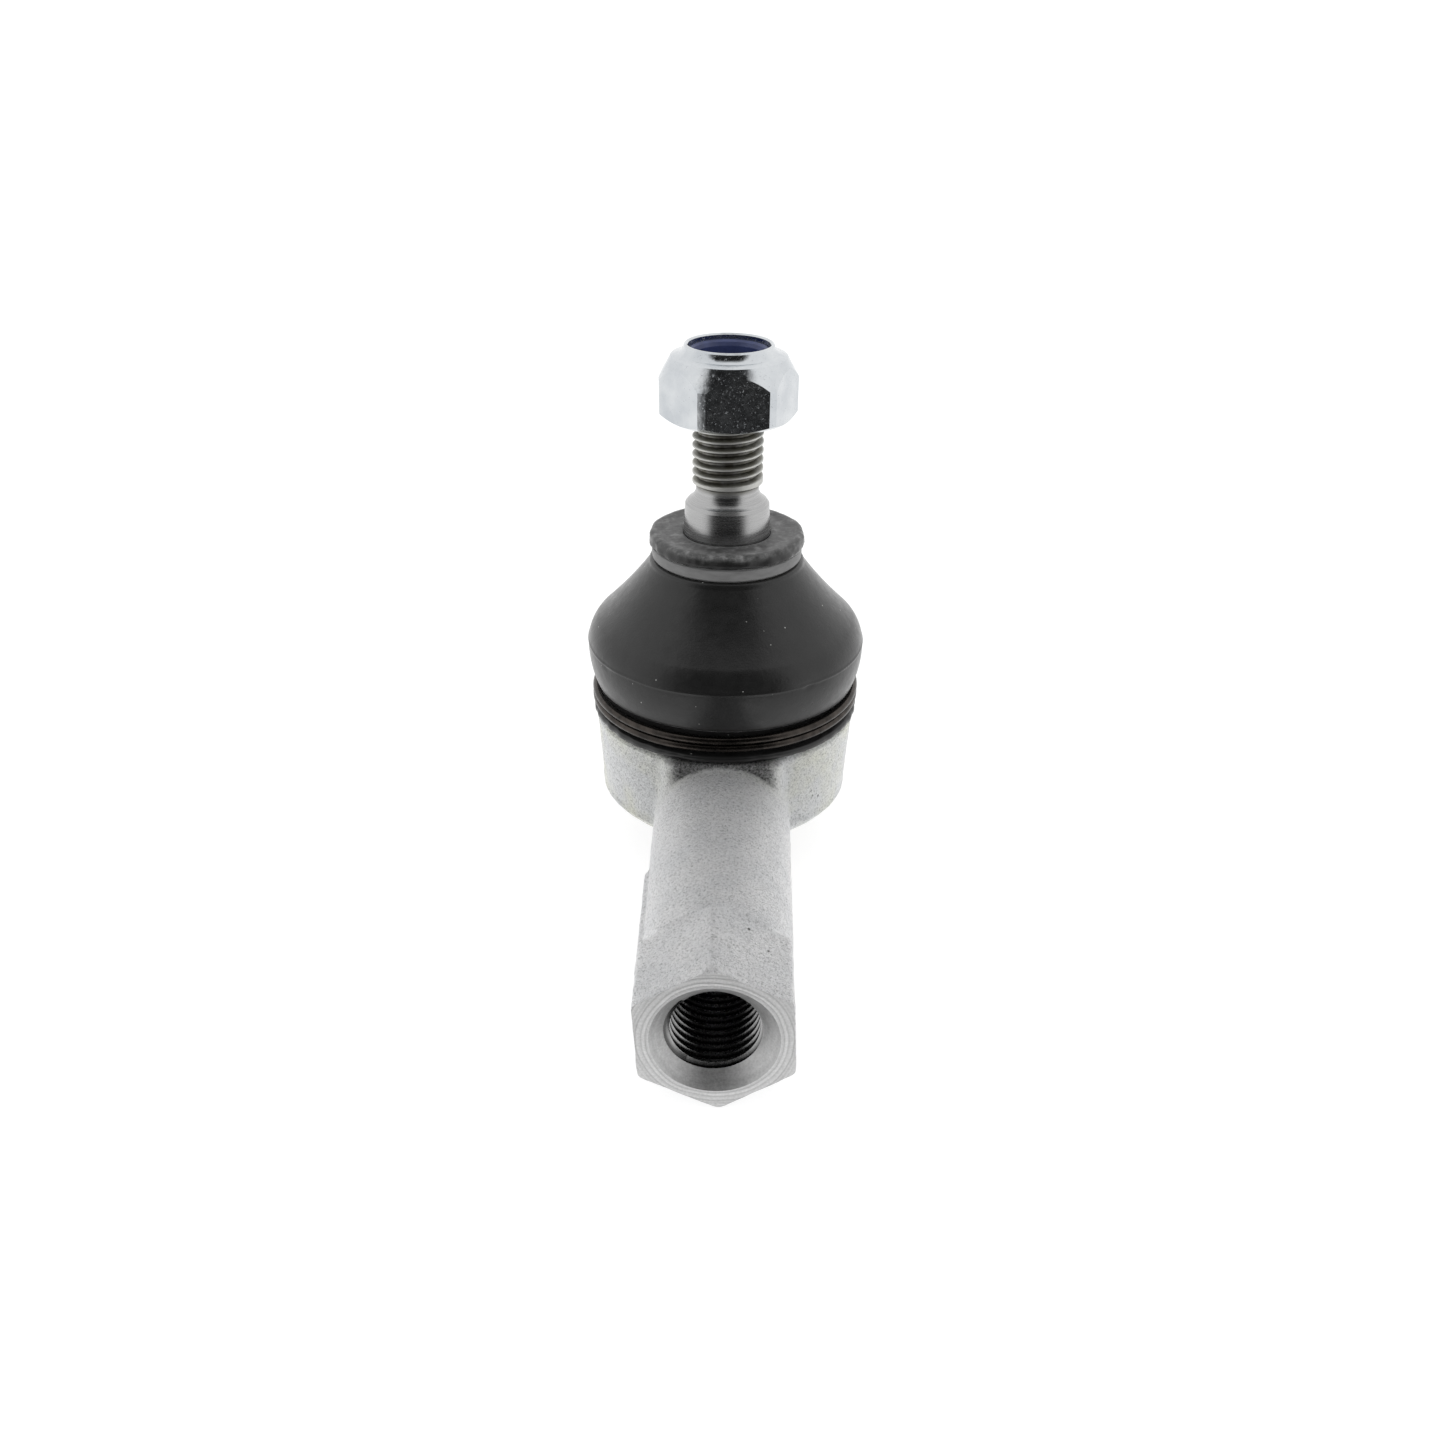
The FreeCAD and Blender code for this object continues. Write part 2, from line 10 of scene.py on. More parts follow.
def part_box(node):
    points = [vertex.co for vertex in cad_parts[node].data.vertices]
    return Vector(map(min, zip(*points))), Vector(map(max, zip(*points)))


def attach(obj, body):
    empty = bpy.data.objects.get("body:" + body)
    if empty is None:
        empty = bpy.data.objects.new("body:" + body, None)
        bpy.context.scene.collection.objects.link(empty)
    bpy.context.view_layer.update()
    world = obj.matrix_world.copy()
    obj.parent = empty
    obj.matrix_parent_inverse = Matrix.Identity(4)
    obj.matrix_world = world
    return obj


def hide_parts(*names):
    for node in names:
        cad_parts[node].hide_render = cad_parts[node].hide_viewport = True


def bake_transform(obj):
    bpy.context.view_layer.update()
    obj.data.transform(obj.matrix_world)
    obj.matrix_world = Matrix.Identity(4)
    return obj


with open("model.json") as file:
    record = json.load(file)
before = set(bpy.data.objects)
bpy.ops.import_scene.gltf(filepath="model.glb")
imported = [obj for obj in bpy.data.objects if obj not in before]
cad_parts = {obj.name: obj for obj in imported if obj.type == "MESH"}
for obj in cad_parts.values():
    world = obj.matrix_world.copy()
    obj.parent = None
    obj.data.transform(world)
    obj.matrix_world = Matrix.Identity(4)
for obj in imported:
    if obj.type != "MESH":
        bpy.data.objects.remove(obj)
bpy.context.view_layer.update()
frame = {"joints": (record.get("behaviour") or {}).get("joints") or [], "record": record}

# A tie rod end on a white table, in the CAD frame: +Z up the ball stud, -Y along the shank.
# Lengths are in millimetres and angles in degrees, unless a comment says otherwise.
# MM turns millimetres into the scene's metres.
MM = 0.001
# Colour ramps run from 0 to 1, so a place that steers one is given to it in decimetres.
DECIMETRE = 1 / (100 * MM)

RECORD_MOUNTS = {mount["name"]: mount for mount in frame["record"]["mounts"]}
JOINTS = {joint["name"]: joint for joint in frame["joints"]}
SHANK_AXIS = RECORD_MOUNTS["rod_thread"]["pos_m"][2] / MM
BORE_RADIUS = RECORD_MOUNTS["rod_thread"]["dims"]["r_mm"]
PIVOT_HEIGHT = JOINTS["swing_across"]["pos_m"][2] / MM


def node_box(name):
    """A CAD node's lowest and highest corner, in millimetres."""
    low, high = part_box(name)
    return low / MM, high / MM


SOCKET_LOW, SOCKET_HIGH = node_box("socket_body")
BOOT_LOW, BOOT_HIGH = node_box("dust_boot")
MOUTH = SOCKET_LOW.y

# socket
CUP_RADIUS = 19.3
CUP_WAIST = 18.5
CUP_SHOULDER = 20.8
CUP_BEVEL = 0.6
WAIST_HEIGHT = 8.3
CORNER_RADIUS = 8.15
CORNER_START = (12.9, 4.6)
FOOT_RADIUS = 9.2
FOOT_BEVEL = 0.5
FOOT_FILLET = (0.7, 1.1)
RIM_GROOVE_RADIUS = 16.6
RIM_FLANGE_RADIUS = 17.4
RIM_THICKNESS = 0.9
CAVITY_RADIUS = 11.6
CAVITY_TOP = PIVOT_HEIGHT + 7.2
MOUTH_CONE = (9.91, 12.85)
MOUTH_CONE_FLARE = 0.55
POLE_FLAT = 2.0
SHANK_RADIUS = 9.79
SHANK_MOUTH_RADIUS = 9.42
SHANK_START = -13.5
HEX_FLATS = 18.0
HEX_SPREAD = 1.035
HEX_LENGTH = 12.1
HEX_TURN = 3.0
MOUTH_BEVEL = 0.4
MOUTH_SPARE = 0.6
VOXEL = 0.28
# How often the blank is smoothed: all over, where its parts meet, and at its loosest corners.
SMOOTHINGS = (3, 14, 45)
FORGING_SHARP = 32
# Die marks: each ridge or hollow has a height and a half width.
RIDGE_PLACE = 0.4
RIDGE = (0.06, 0.9)
RIDGE_SIDES = (0.05, 2.6)
LEDGE_PLACE = 8.6
LEDGE_STEP = 0.22
CUP_HOLLOW = 0.12
LUMPS = 0.05
SMOOTH_RIM = 0.9
NICK_SLOPE = 0.55
NICK_DEPTH = 0.7
NICK_REACH = (-0.5, 1.6)
NICK_HALF = 4.0
FLASH_START = -33.4
FLASH_HEIGHT = 0.55
BLOCK_HALF = 8.7
BLOCK_BACK = -13.0
BLOCK_FRONT = -19.8
BLOCK_CORNER = 2.4
SINK_RADIUS = 7.6
DRILL_DEPTH = 31.0
DRILL_POINT = 3
THREAD_PITCH = 1.25
THREAD_MAJOR = 6.0
THREAD_LENGTH = 24.0
THREAD_START = 0.6
THREAD_OVERCUT = 0.2
# Where the cutter's tooth reaches its top, leaves it and ends, in shares of a pitch.
THREAD_FLANKS = (0.32, 0.45, 0.77)
THREAD_SEGMENTS = 72
THREAD_CONE = 0.4
TURNED_SEGMENTS = 96
CUP_SEGMENTS = 144

# boot
LIP_RADIUS = 19.65
LIP_TOP = 21.95
GROOVE_RADIUS = 18.5
GROOVE_TOP = 25.45
BULGE = (20.15, 31.2)
SHOULDER = (18.75, 34.85)
NECK = (11.1, 43.5)
BOOT_WALL = 1.1
RING_SEAT_RADIUS = 9.6
RING_SEAT_BOTTOM = 44.15
FLANGE_BOTTOM = 46.25
FLANGE_RADIUS = 11.1
FLANGE_DIP = (8.6, 0.22)
BEAD_RADIUS = 16.72
STUD_HOLE_TOP = 6.23
STUD_HOLE_BOTTOM = 6.56
COLLAR_BOTTOM = 42.8
BEAD_TOP = 25.35
SLOPE_HOLLOW = 62.0
WAIST_ROUND = 14.5
BULGE_ROUND = 5.6
PARTING_HEIGHT = 31.8
PARTING_RIDGE = (0.09, 0.16)
# Where the boot's bending would start and end in each of its parts; make_boot lists them but bends nothing.
BELL_BEND_START = GROOVE_TOP + 0.2
BELL_BEND_MARGIN = 0.9
NECK_BEND_END = COLLAR_BOTTOM - 1.1
BOOT_SHARP = 50
SLOPE_STEPS = 44
INNER_SLOPE_STEPS = 24
SPLIT = 4
BOOT_SEGMENTS = 216
# Heights, and the radius halfway through the wall at each of them.
WALL_MIDDLE = ((21, 17.2), (34, 17.8), (43.5, 10.2), (44, 9.0), (48.2, 6.9))
# Where the parting line is torn: its angle and width in radians, and how deep it is.
TORN_PLACES = ((-0.93, 0.1, 1.0), (-2.55, 0.06, 0.7))

# nut
NUT_BEVEL = 0.16
BEVEL_ANGLE = 30

# light, with lengths in metres
TENT_LIGHT = 1.12
TABLE_GLOW = 0.75
OPENING_NEAR = 0.08
OPENING_FAR = 0.9
OPENING_DARKEST = 0.015
OPENING_DARK_ANGLE = 38.0
OPENING_HALF_ANGLE = 58.0
OPENING_DARK_TOP = 51.0
OPENING_TOP_ANGLE = 88.0
OPENING_FADE = 0.05
OPENING_LIFT = 0.0005
OPENING_REACH = 70
OPENING_STEP = 2.0
OPENING_RING_GAP = 0.01
OPENING_RINGS = 81
TABLE_HALF = 10.0

# camera
CAMERA_LENS = 34.88
CAMERA_PLACE = (1.9, -187.77, 118.63)
CAMERA_DIP = 28.46
CAMERA_PAN = -0.67
CAMERA_ROLL = 0.7


# ---------------------------------------------------------------- mesh helpers


def placed(name, data):
    """A new object in the scene for a mesh or a camera."""
    made = bpy.data.objects.new(name, data)
    bpy.context.scene.collection.objects.link(made)
    return made


def mesh_piece(name, points, faces):
    """A new object from points in millimetres."""
    mesh = bpy.data.meshes.new(name)
    mesh.from_pydata([tuple(c * MM for c in p) for p in points], [], faces)
    mesh.validate()
    return placed(name, mesh)


def arc(start, end, radius, side, steps):
    """Points after start up to end, on the arc that bulges right (side 1) or left (-1) of the way there."""
    start, end = Vector(start), Vector(end)
    chord = end - start
    across = Vector((chord.y, -chord.x)).normalized() * side
    reach = math.sqrt(max(radius * radius - chord.length_squared / 4, 0))
    centre = (start + end) / 2 - across * reach
    first = math.atan2(*(start - centre).yx)
    turn = (math.atan2(*(end - centre).yx) - first + math.pi) % (2 * math.pi) - math.pi
    angles = [first + turn * step / steps for step in range(1, steps + 1)]
    return [(centre.x + radius * math.cos(angle), centre.y + radius * math.sin(angle)) for angle in angles]


def run(start, end, steps):
    """Points after start up to end on a straight line."""
    return [tuple(Vector(start).lerp(Vector(end), step / steps)) for step in range(1, steps + 1)]


def lathe(name, profile, segments, closed=False, axis="Z"):
    """Turns a profile of (radius, height) about the upright axis, or along the shank's axis.

    An open profile starts and ends on the axis; a closed one is a ring's section.
    """
    points, rings = [], []
    for radius, height in profile:
        if radius < 1e-6:
            rings.append([len(points)])
            points.append((0.0, 0.0, height))
            continue
        rings.append(list(range(len(points), len(points) + segments)))
        for step in range(segments):
            angle = 2 * math.pi * step / segments
            points.append((radius * math.cos(angle), radius * math.sin(angle), height))
    faces = []
    pairs = list(zip(rings, rings[1:]))
    if closed:
        pairs.append((rings[-1], rings[0]))
    for low, high in pairs:
        for step in range(segments):
            after = (step + 1) % segments
            if len(low) == 1:
                faces.append((low[0], high[after], high[step]))
            elif len(high) == 1:
                faces.append((low[step], low[after], high[0]))
            else:
                faces.append((low[step], low[after], high[after], high[step]))
    if axis == "Y":
        points = [(x, height, SHANK_AXIS - y) for x, y, height in points]
    return mesh_piece(name, points, faces)


def prism(name, outline, low, high, axis="Y"):
    """A closed prism along Y from an outline of (x, z) corners, or along Z from one of (x, y) corners."""
    count = len(outline)
    points = [(a, end, b) if axis == "Y" else (a, b, end) for end in (low, high) for a, b in outline]
    sides = [(i, (i + 1) % count, count + (i + 1) % count, count + i) for i in range(count)]
    ends = [tuple(range(count))[::-1], tuple(range(count, 2 * count))]
    return mesh_piece(name, points, sides + ends)


def settle(piece):
    """Replaces a piece's mesh by what its modifiers make of it."""
    graph = bpy.context.evaluated_depsgraph_get()
    made = bpy.data.meshes.new_from_object(piece.evaluated_get(graph))
    piece.modifiers.clear()
    old = piece.data
    piece.data = made
    bpy.data.meshes.remove(old)
    return piece


def discard(piece):
    """Removes a piece and its mesh."""
    mesh = piece.data
    bpy.data.objects.remove(piece)
    bpy.data.meshes.remove(mesh)


def outward(piece):
    """Makes all the faces look outward."""
    bm = bmesh.new()
    bm.from_mesh(piece.data)
    bmesh.ops.recalc_face_normals(bm, faces=bm.faces)
    bm.to_mesh(piece.data)
    bm.free()
    return piece


def joined(name, pieces):
    """One object that holds the meshes of several."""
    bm = bmesh.new()
    for piece in pieces:
        outward(piece)
        bm.from_mesh(piece.data)
        discard(piece)
    mesh = bpy.data.meshes.new(name)
    bm.to_mesh(mesh)
    bm.free()
    return placed(name, mesh)


def cut(piece, cutter):
    """Takes the cutter's shape out of the piece."""
    outward(cutter)
    modifier = piece.modifiers.new("cut", "BOOLEAN")
    modifier.operation = "DIFFERENCE"
    modifier.solver = "MANIFOLD"
    modifier.object = cutter
    settle(piece)
    discard(cutter)
    return piece


def shade(piece, degrees):
    """Smooth shading, with edges over that angle left sharp."""
    piece.data.shade_smooth()
    piece.data.set_sharp_from_angle(angle=math.radians(degrees))
    return piece


def vectors_of(mesh, name):
    """The places ("co", in metres) or the normals of a mesh's points, one in each row."""
    values = np.empty(len(mesh.vertices) * 3)
    mesh.vertices.foreach_get(name, values)
    return values.reshape(-1, 3)


def points_of(mesh):
    """The places of a mesh's points, in millimetres."""
    return vectors_of(mesh, "co") / MM


def set_points(mesh, places):
    """Moves a mesh's points to these places, in millimetres."""
    mesh.vertices.foreach_set("co", (places * MM).ravel())
    mesh.update()


def hill(value, width):
    """1 where value is 0, falling smoothly to almost 0 at twice the width."""
    return np.exp(-((value / width) ** 2))


def noise_at(places, size, shift=(0, 0, 0)):
    """Blender's fixed noise, from -1 to 1, whose lumps are about size millimetres across."""
    return np.array([noise.noise(Vector(p) / size + Vector(shift)) for p in places])


def noise_round(angles, waves, heights):
    """Fixed noise that runs round the stud's axis, and varies with height too."""
    pairs = zip(angles, heights)
    return np.array([noise.noise(Vector((waves * math.cos(a), waves * math.sin(a), h))) for a, h in pairs])


def ramp(value, low, high):
    """0 below low, 1 above high, and smooth between."""
    t = np.clip((value - low) / (high - low), 0, 1)
    return t * t * (3 - 2 * t)


# ---------------------------------------------------------------- materials


class Paint:
    """A material's node tree, built step by step. Patterns lie in metres in the piece's own frame."""

    def __init__(self, name, **sockets):
        self.material = bpy.data.materials.new(name)
        self.material.use_nodes = True
        self.tree = self.material.node_tree
        self.shader = self.tree.nodes["Principled BSDF"]
        for socket, value in sockets.items():
            self.shader.inputs[socket.replace("_", " ")].default_value = value
        self.place = self.add("ShaderNodeTexCoord").outputs["Object"]
        self.height = None

    def add(self, kind, **settings):
        """A new node."""
        node = self.tree.nodes.new(kind)
        for name, value in settings.items():
            setattr(node, name, value)
        return node

    def link(self, source, target):
        self.tree.links.new(source, target)

    def feed(self, socket, value):
        """Sets a socket to a number or colour, or links it to another node's output."""
        if isinstance(value, (int, float)):
            socket.default_value = value
        elif isinstance(value, tuple):
            socket.default_value = (*value, 1)
        else:
            self.link(value, socket)

    def math(self, operation, first, second=0.0):
        """Arithmetic on two numbers or outputs."""
        node = self.add("ShaderNodeMath", operation=operation)
        self.feed(node.inputs[0], first)
        self.feed(node.inputs[1], second)
        return node.outputs[0]

    def times(self, first, second):
        return self.math("MULTIPLY", first, second)

    def grain(self, size, detail=3.0, roughness=0.5, stretch=(1, 1, 1), distortion=0.0):
        """Noise whose lumps are about size millimetres across, from 0 to 1."""
        mapping = self.add("ShaderNodeMapping")
        mapping.inputs["Scale"].default_value = [s / (size * MM) for s in stretch]
        self.link(self.place, mapping.inputs["Vector"])
        node = self.add("ShaderNodeTexNoise")
        node.inputs["Scale"].default_value = 1.0
        node.inputs["Detail"].default_value = detail
        node.inputs["Roughness"].default_value = roughness
        node.inputs["Distortion"].default_value = distortion
        self.link(mapping.outputs[0], node.inputs["Vector"])
        return node.outputs[0]

    def cells(self, size):
        """Distance to the nearest of points scattered size millimetres apart, as a share of that size."""
        node = self.add("ShaderNodeTexVoronoi")
        node.inputs["Scale"].default_value = 1 / (size * MM)
        self.link(self.place, node.inputs["Vector"])
        return node.outputs["Distance"]

    def steps(self, value, stops):
        """A colour ramp. Each stop is (position, grey or colour)."""
        node = self.add("ShaderNodeValToRGB")
        marks = node.color_ramp.elements
        while len(marks) < len(stops):
            marks.new(0.5)
        for mark, (position, colour) in zip(marks, stops):
            mark.position = position
            mark.color = (colour,) * 3 + (1,) if isinstance(colour, float) else (*colour, 1)
        self.link(value, node.inputs[0])
        return node.outputs[0]

    def blend(self, share, first, second, kind="MIX"):
        """Mixes two colours, or with another kind combines them."""
        node = self.add("ShaderNodeMix", data_type="RGBA", blend_type=kind)
        for place, value in ((0, share), (6, first), (7, second)):
            self.feed(node.inputs[place], value)
        return node.outputs[2]

    def coordinate(self, name):
        """X, Y or Z, in metres."""
        parts = self.add("ShaderNodeSeparateXYZ")
        self.link(self.place, parts.inputs[0])
        return parts.outputs[name]

    def radius(self, across, up, up_offset=0.0):
        """Distance from an axis, from two of the coordinates X, Y, Z, in metres."""
        first = self.coordinate(across)
        second = self.math("SUBTRACT", self.coordinate(up), up_offset)
        return self.math("SQRT", self.math("ADD", self.times(first, first), self.times(second, second)))

    def colour(self, source):
        self.link(source, self.shader.inputs["Base Color"])
        return self

    def rough(self, source):
        self.link(source, self.shader.inputs["Roughness"])
        return self

    def bump(self, source, depth):
        """Raises the surface by depth millimetres where source is 1. Later calls add to earlier ones."""
        node = self.add("ShaderNodeBump")
        node.inputs["Distance"].default_value = depth * MM
        node.inputs["Strength"].default_value = 1.0
        self.link(source, node.inputs["Height"])
        if self.height is not None:
            self.link(self.height, node.inputs["Normal"])
        self.height = node.outputs[0]
        self.link(self.height, self.shader.inputs["Normal"])
        return self


def zinc_forging():
    """Bright zinc over a blasted forging: a sparkling grain, pits, a slight yellow and green bloom, and
    painted shade on the slab's face above the shank, under the boot's lip.
    """
    paint = Paint("zinc_forging", Metallic=1.0)
    forward = paint.times(paint.coordinate("Y"), -DECIMETRE)
    aside = paint.math("ABSOLUTE", paint.times(paint.coordinate("X"), DECIMETRE))
    off_axis = paint.times(paint.radius("X", "Z", SHANK_AXIS * MM), DECIMETRE)
    fine = paint.grain(0.3, detail=4.0, roughness=0.75, distortion=0.8)
    on_cup = paint.steps(forward, [(0.16, 1.0), (0.22, 0.0)])
    yellowish = [(0.4, (0.79, 0.80, 0.805)), (0.66, (0.82, 0.825, 0.75))]
    greyish = [(0.35, (0.79, 0.795, 0.805)), (0.65, (0.85, 0.85, 0.855))]
    bloom = paint.steps(paint.grain(6.0, detail=2.0), yellowish)
    plain = paint.steps(paint.grain(5.0, detail=2.0), greyish)
    tone = paint.blend(on_cup, plain, bloom)
    sparkle = paint.steps(fine, [(0.36, 0.42), (0.47, 0.84), (0.58, 1.0)])
    mottled = paint.blend(0.9, tone, sparkle, "MULTIPLY")
    pits = paint.steps(paint.cells(2.6), [(0.055, 0.05), (0.1, 1.0)])
    some = paint.steps(paint.grain(4.0, detail=1.0), [(0.52, 0.0), (0.58, 1.0)])
    pitted = paint.blend(some, mottled, paint.blend(1.0, mottled, pits, "MULTIPLY"))
    # Painted shade: the slab's face between the shank and the boot's lip is coloured dark with light specks,
    # as it looks in the shade under the lip.
    ragged = paint.math("ADD", aside, paint.times(paint.grain(1.2, detail=4.0), 0.016))
    over_shank = paint.steps(off_axis, [(0.0985, 0.0), (0.101, 1.0)])
    wall = paint.steps(forward, [(0.165, 0.0), (0.18, 1.0), (0.205, 1.0), (0.215, 0.0)])
    on_wall = paint.times(over_shank, wall)
    painted_wall_shade = paint.times(on_wall, paint.steps(ragged, [(0.07, 1.0), (0.088, 0.0)]))
    paint.colour(paint.blend(painted_wall_shade, pitted, paint.steps(fine, [(0.4, 0.05), (0.66, 0.42)])))
    paint.rough(paint.steps(fine, [(0.35, 0.56), (0.62, 0.34)]))
    paint.bump(paint.grain(1.1, detail=2.0), 0.13)
    paint.bump(fine, 0.5)
    return paint.material


def machined_steel():
    """The turned mouth, sink and drilled hole: rings round the bore's axis."""
    paint = Paint("machined_steel", Metallic=1.0)
    radius = paint.radius("X", "Z", SHANK_AXIS * MM)
    across = paint.math("ADD", radius, paint.times(paint.coordinate("Y"), 0.7))
    wander = paint.times(paint.grain(6.0, detail=2.0), 0.0006)
    line = paint.add("ShaderNodeCombineXYZ")
    paint.link(paint.times(paint.math("ADD", across, wander), 1 / (0.32 * MM)), line.inputs[0])
    rings = paint.add("ShaderNodeTexNoise", noise_dimensions="3D")
    rings.inputs["Scale"].default_value = 1.0
    rings.inputs["Detail"].default_value = 3.0
    paint.link(line.outputs[0], rings.inputs["Vector"])
    turned = paint.steps(rings.outputs[0], [(0.36, 0.36), (0.44, 0.6), (0.6, 0.72)])
    grain = paint.steps(paint.grain(0.3, detail=4.0, roughness=0.7), [(0.3, 0.72), (0.65, 1.0)])
    paint.colour(paint.blend(0.9, turned, grain, "MULTIPLY"))
    paint.rough(paint.steps(paint.grain(0.6), [(0.3, 0.42), (0.7, 0.52)]))
    paint.bump(rings.outputs[0], 0.09)
    paint.bump(paint.grain(0.2, detail=4.0), 0.02)
    return paint.material


def bore_steel():
    """The tapped hole: steel darker than the turned faces, lighter on the thread's crests and darkest towards
    its roots.
    """
    paint = Paint("bore_steel", Metallic=1.0)
    radius = paint.radius("X", "Z", SHANK_AXIS * MM)
    crest = paint.times(radius, 1 / (8 * MM))
    paint.colour(paint.steps(crest, [(0.665, 0.42), (0.72, 0.1)]))
    paint.rough(paint.steps(paint.grain(0.4), [(0.3, 0.2), (0.7, 0.3)]))
    paint.bump(paint.grain(0.15, detail=3.0), 0.006)
    return paint.material


def stud_steel():
    """Ground and turned steel, with dirty oil in the roots of the thread."""
    paint = Paint("stud_steel", Metallic=1.0, Anisotropic=0.6)
    radius = paint.times(paint.radius("X", "Y"), 1 / (10 * MM))
    height = paint.times(paint.coordinate("Z"), DECIMETRE)
    above_relief = paint.steps(height, [(0.543, 0.0), (0.55, 1.0)])
    turned = paint.grain(0.09, detail=3.0, roughness=0.7, stretch=(0.01, 0.01, 1))
    clean = paint.steps(turned, [(0.25, (0.33, 0.33, 0.33)), (0.75, (0.47, 0.47, 0.47))])
    olive = [(0.425, (0.13, 0.125, 0.105)), (0.47, (0.25, 0.245, 0.215)), (0.489, (0.6, 0.6, 0.57))]
    roots = paint.steps(radius, olive)
    wiped = paint.steps(paint.grain(1.2, detail=4.0), [(0.4, 0.0), (0.7, 0.5)])
    dirt = paint.blend(wiped, roots, clean)
    paint.colour(paint.blend(above_relief, clean, dirt))
    ground = paint.steps(turned, [(0.3, 0.2), (0.7, 0.3)])
    paint.rough(paint.blend(above_relief, ground, (0.48, 0.48, 0.48)))
    paint.bump(turned, 0.004)
    tangent = paint.add("ShaderNodeTangent", direction_type="RADIAL", axis="Z")
    paint.link(tangent.outputs[0], paint.shader.inputs["Tangent"])
    return paint.material


def nut_zinc():
    """Bright bluish zinc with handling marks."""
    paint = Paint("nut_zinc", Metallic=1.0)
    scuffs = paint.steps(paint.grain(0.34, detail=5.0, roughness=0.75), [(0.61, 0.0), (0.73, 1.0)])
    bluish = [(0.3, (0.50, 0.525, 0.55)), (0.7, (0.62, 0.64, 0.655))]
    cloud = paint.steps(paint.grain(3.5, detail=2.0), bluish)
    paint.colour(paint.blend(paint.times(scuffs, 0.5), cloud, (0.36, 0.38, 0.41)))
    polish = paint.steps(paint.grain(0.7, detail=3.0), [(0.3, 0.12), (0.7, 0.24)])
    paint.rough(paint.blend(scuffs, polish, (0.8, 0.8, 0.8)))
    paint.bump(paint.grain(1.8, detail=1.5), 0.05)
    paint.bump(paint.grain(0.35, detail=3.0), 0.008)
    paint.bump(scuffs, 0.012)
    return paint.material


def nylon():
    """Dark blue moulded nylon, finely matt."""
    paint = Paint("nylon", Roughness=0.42)
    paint.colour(paint.steps(paint.grain(1.5), [(0.3, (0.018, 0.028, 0.10)), (0.7, (0.03, 0.045, 0.14))]))
    paint.bump(paint.grain(0.3, detail=2.0), 0.01)
    return paint.material


def boot_rubber():
    """Black moulded rubber: half matt, with dust specks, and dustier on the flange's top."""
    paint = Paint("boot_rubber", IOR=1.46, Sheen_Weight=0.3, Sheen_Roughness=0.3)
    rest = paint.add("ShaderNodeAttribute", attribute_name="rest_place")
    paint.place = rest.outputs["Vector"]
    tone = paint.steps(paint.grain(5.0, detail=3.0), [(0.3, 0.005), (0.7, 0.009)])
    dust = paint.steps(paint.cells(1.2), [(0.06, 1.0), (0.1, 0.0)])
    sparse = paint.steps(paint.grain(2.4, detail=1.0), [(0.6, 0.0), (0.62, 1.0)])
    specked = paint.blend(paint.times(dust, sparse), tone, (0.3, 0.3, 0.29))
    height = paint.times(paint.coordinate("Z"), DECIMETRE)
    on_top = paint.steps(height, [(0.472, 0.0), (0.478, 1.0)])
    smears = paint.grain(1.6, detail=5.0, roughness=0.7)
    film = paint.steps(smears, [(0.35, 0.02), (0.52, 0.07), (0.7, 0.2)])
    paint.colour(paint.blend(on_top, specked, film))
    matt = paint.steps(paint.grain(1.2, detail=4.0), [(0.3, 0.27), (0.7, 0.38)])
    paint.rough(paint.blend(on_top, matt, (0.5, 0.5, 0.5)))
    paint.bump(paint.grain(0.35, detail=3.0), 0.016)
    paint.bump(paint.grain(1.8, detail=2.0), 0.03)
    return paint.material


def ring_plastic():
    """Smooth dark grey clamp ring."""
    paint = Paint("ring_plastic")
    paint.colour(paint.steps(paint.grain(2.0, stretch=(1, 1, 4)), [(0.3, 0.11), (0.7, 0.145)]))
    paint.rough(paint.steps(paint.grain(0.8), [(0.3, 0.34), (0.7, 0.44)]))
    paint.bump(paint.grain(0.3, detail=2.0), 0.006)
    return paint.material


def spring_wire():
    """Drawn wire with a brown temper colour."""
    paint = Paint("spring_wire", Metallic=1.0)
    brown = [(0.3, (0.03, 0.027, 0.025)), (0.7, (0.065, 0.056, 0.05))]
    paint.colour(paint.steps(paint.grain(1.4, detail=3.0), brown))
    paint.rough(paint.steps(paint.grain(0.5, stretch=(1, 1, 6)), [(0.3, 0.22), (0.7, 0.32)]))
    paint.bump(paint.grain(0.12, detail=3.0), 0.006)
    return paint.material


def seat_plastic():
    """Off-white acetal, greased."""
    paint = Paint("seat_plastic", Roughness=0.35)
    paint.colour(paint.steps(paint.grain(2.5), [(0.3, (0.72, 0.70, 0.62)), (0.7, (0.8, 0.78, 0.7))]))
    paint.bump(paint.grain(0.4), 0.01)
    return paint.material


def ring_steel():
    """Turned steel of the closing ring."""
    paint = Paint("ring_steel", Metallic=1.0)
    rings = paint.math("SINE", paint.times(paint.radius("X", "Y"), 2 * math.pi / (0.3 * MM)))
    paint.colour(paint.steps(paint.grain(0.5, detail=3.0), [(0.3, 0.42), (0.7, 0.55)]))
    paint.rough(paint.steps(paint.grain(0.8), [(0.3, 0.3), (0.7, 0.42)]))
    paint.bump(rings, 0.004)
    return paint.material


def dress(piece, material):
    """Gives a piece that one material."""
    piece.data.materials.clear()
    piece.data.materials.append(material)
    return piece


# ---------------------------------------------------------------- the forging


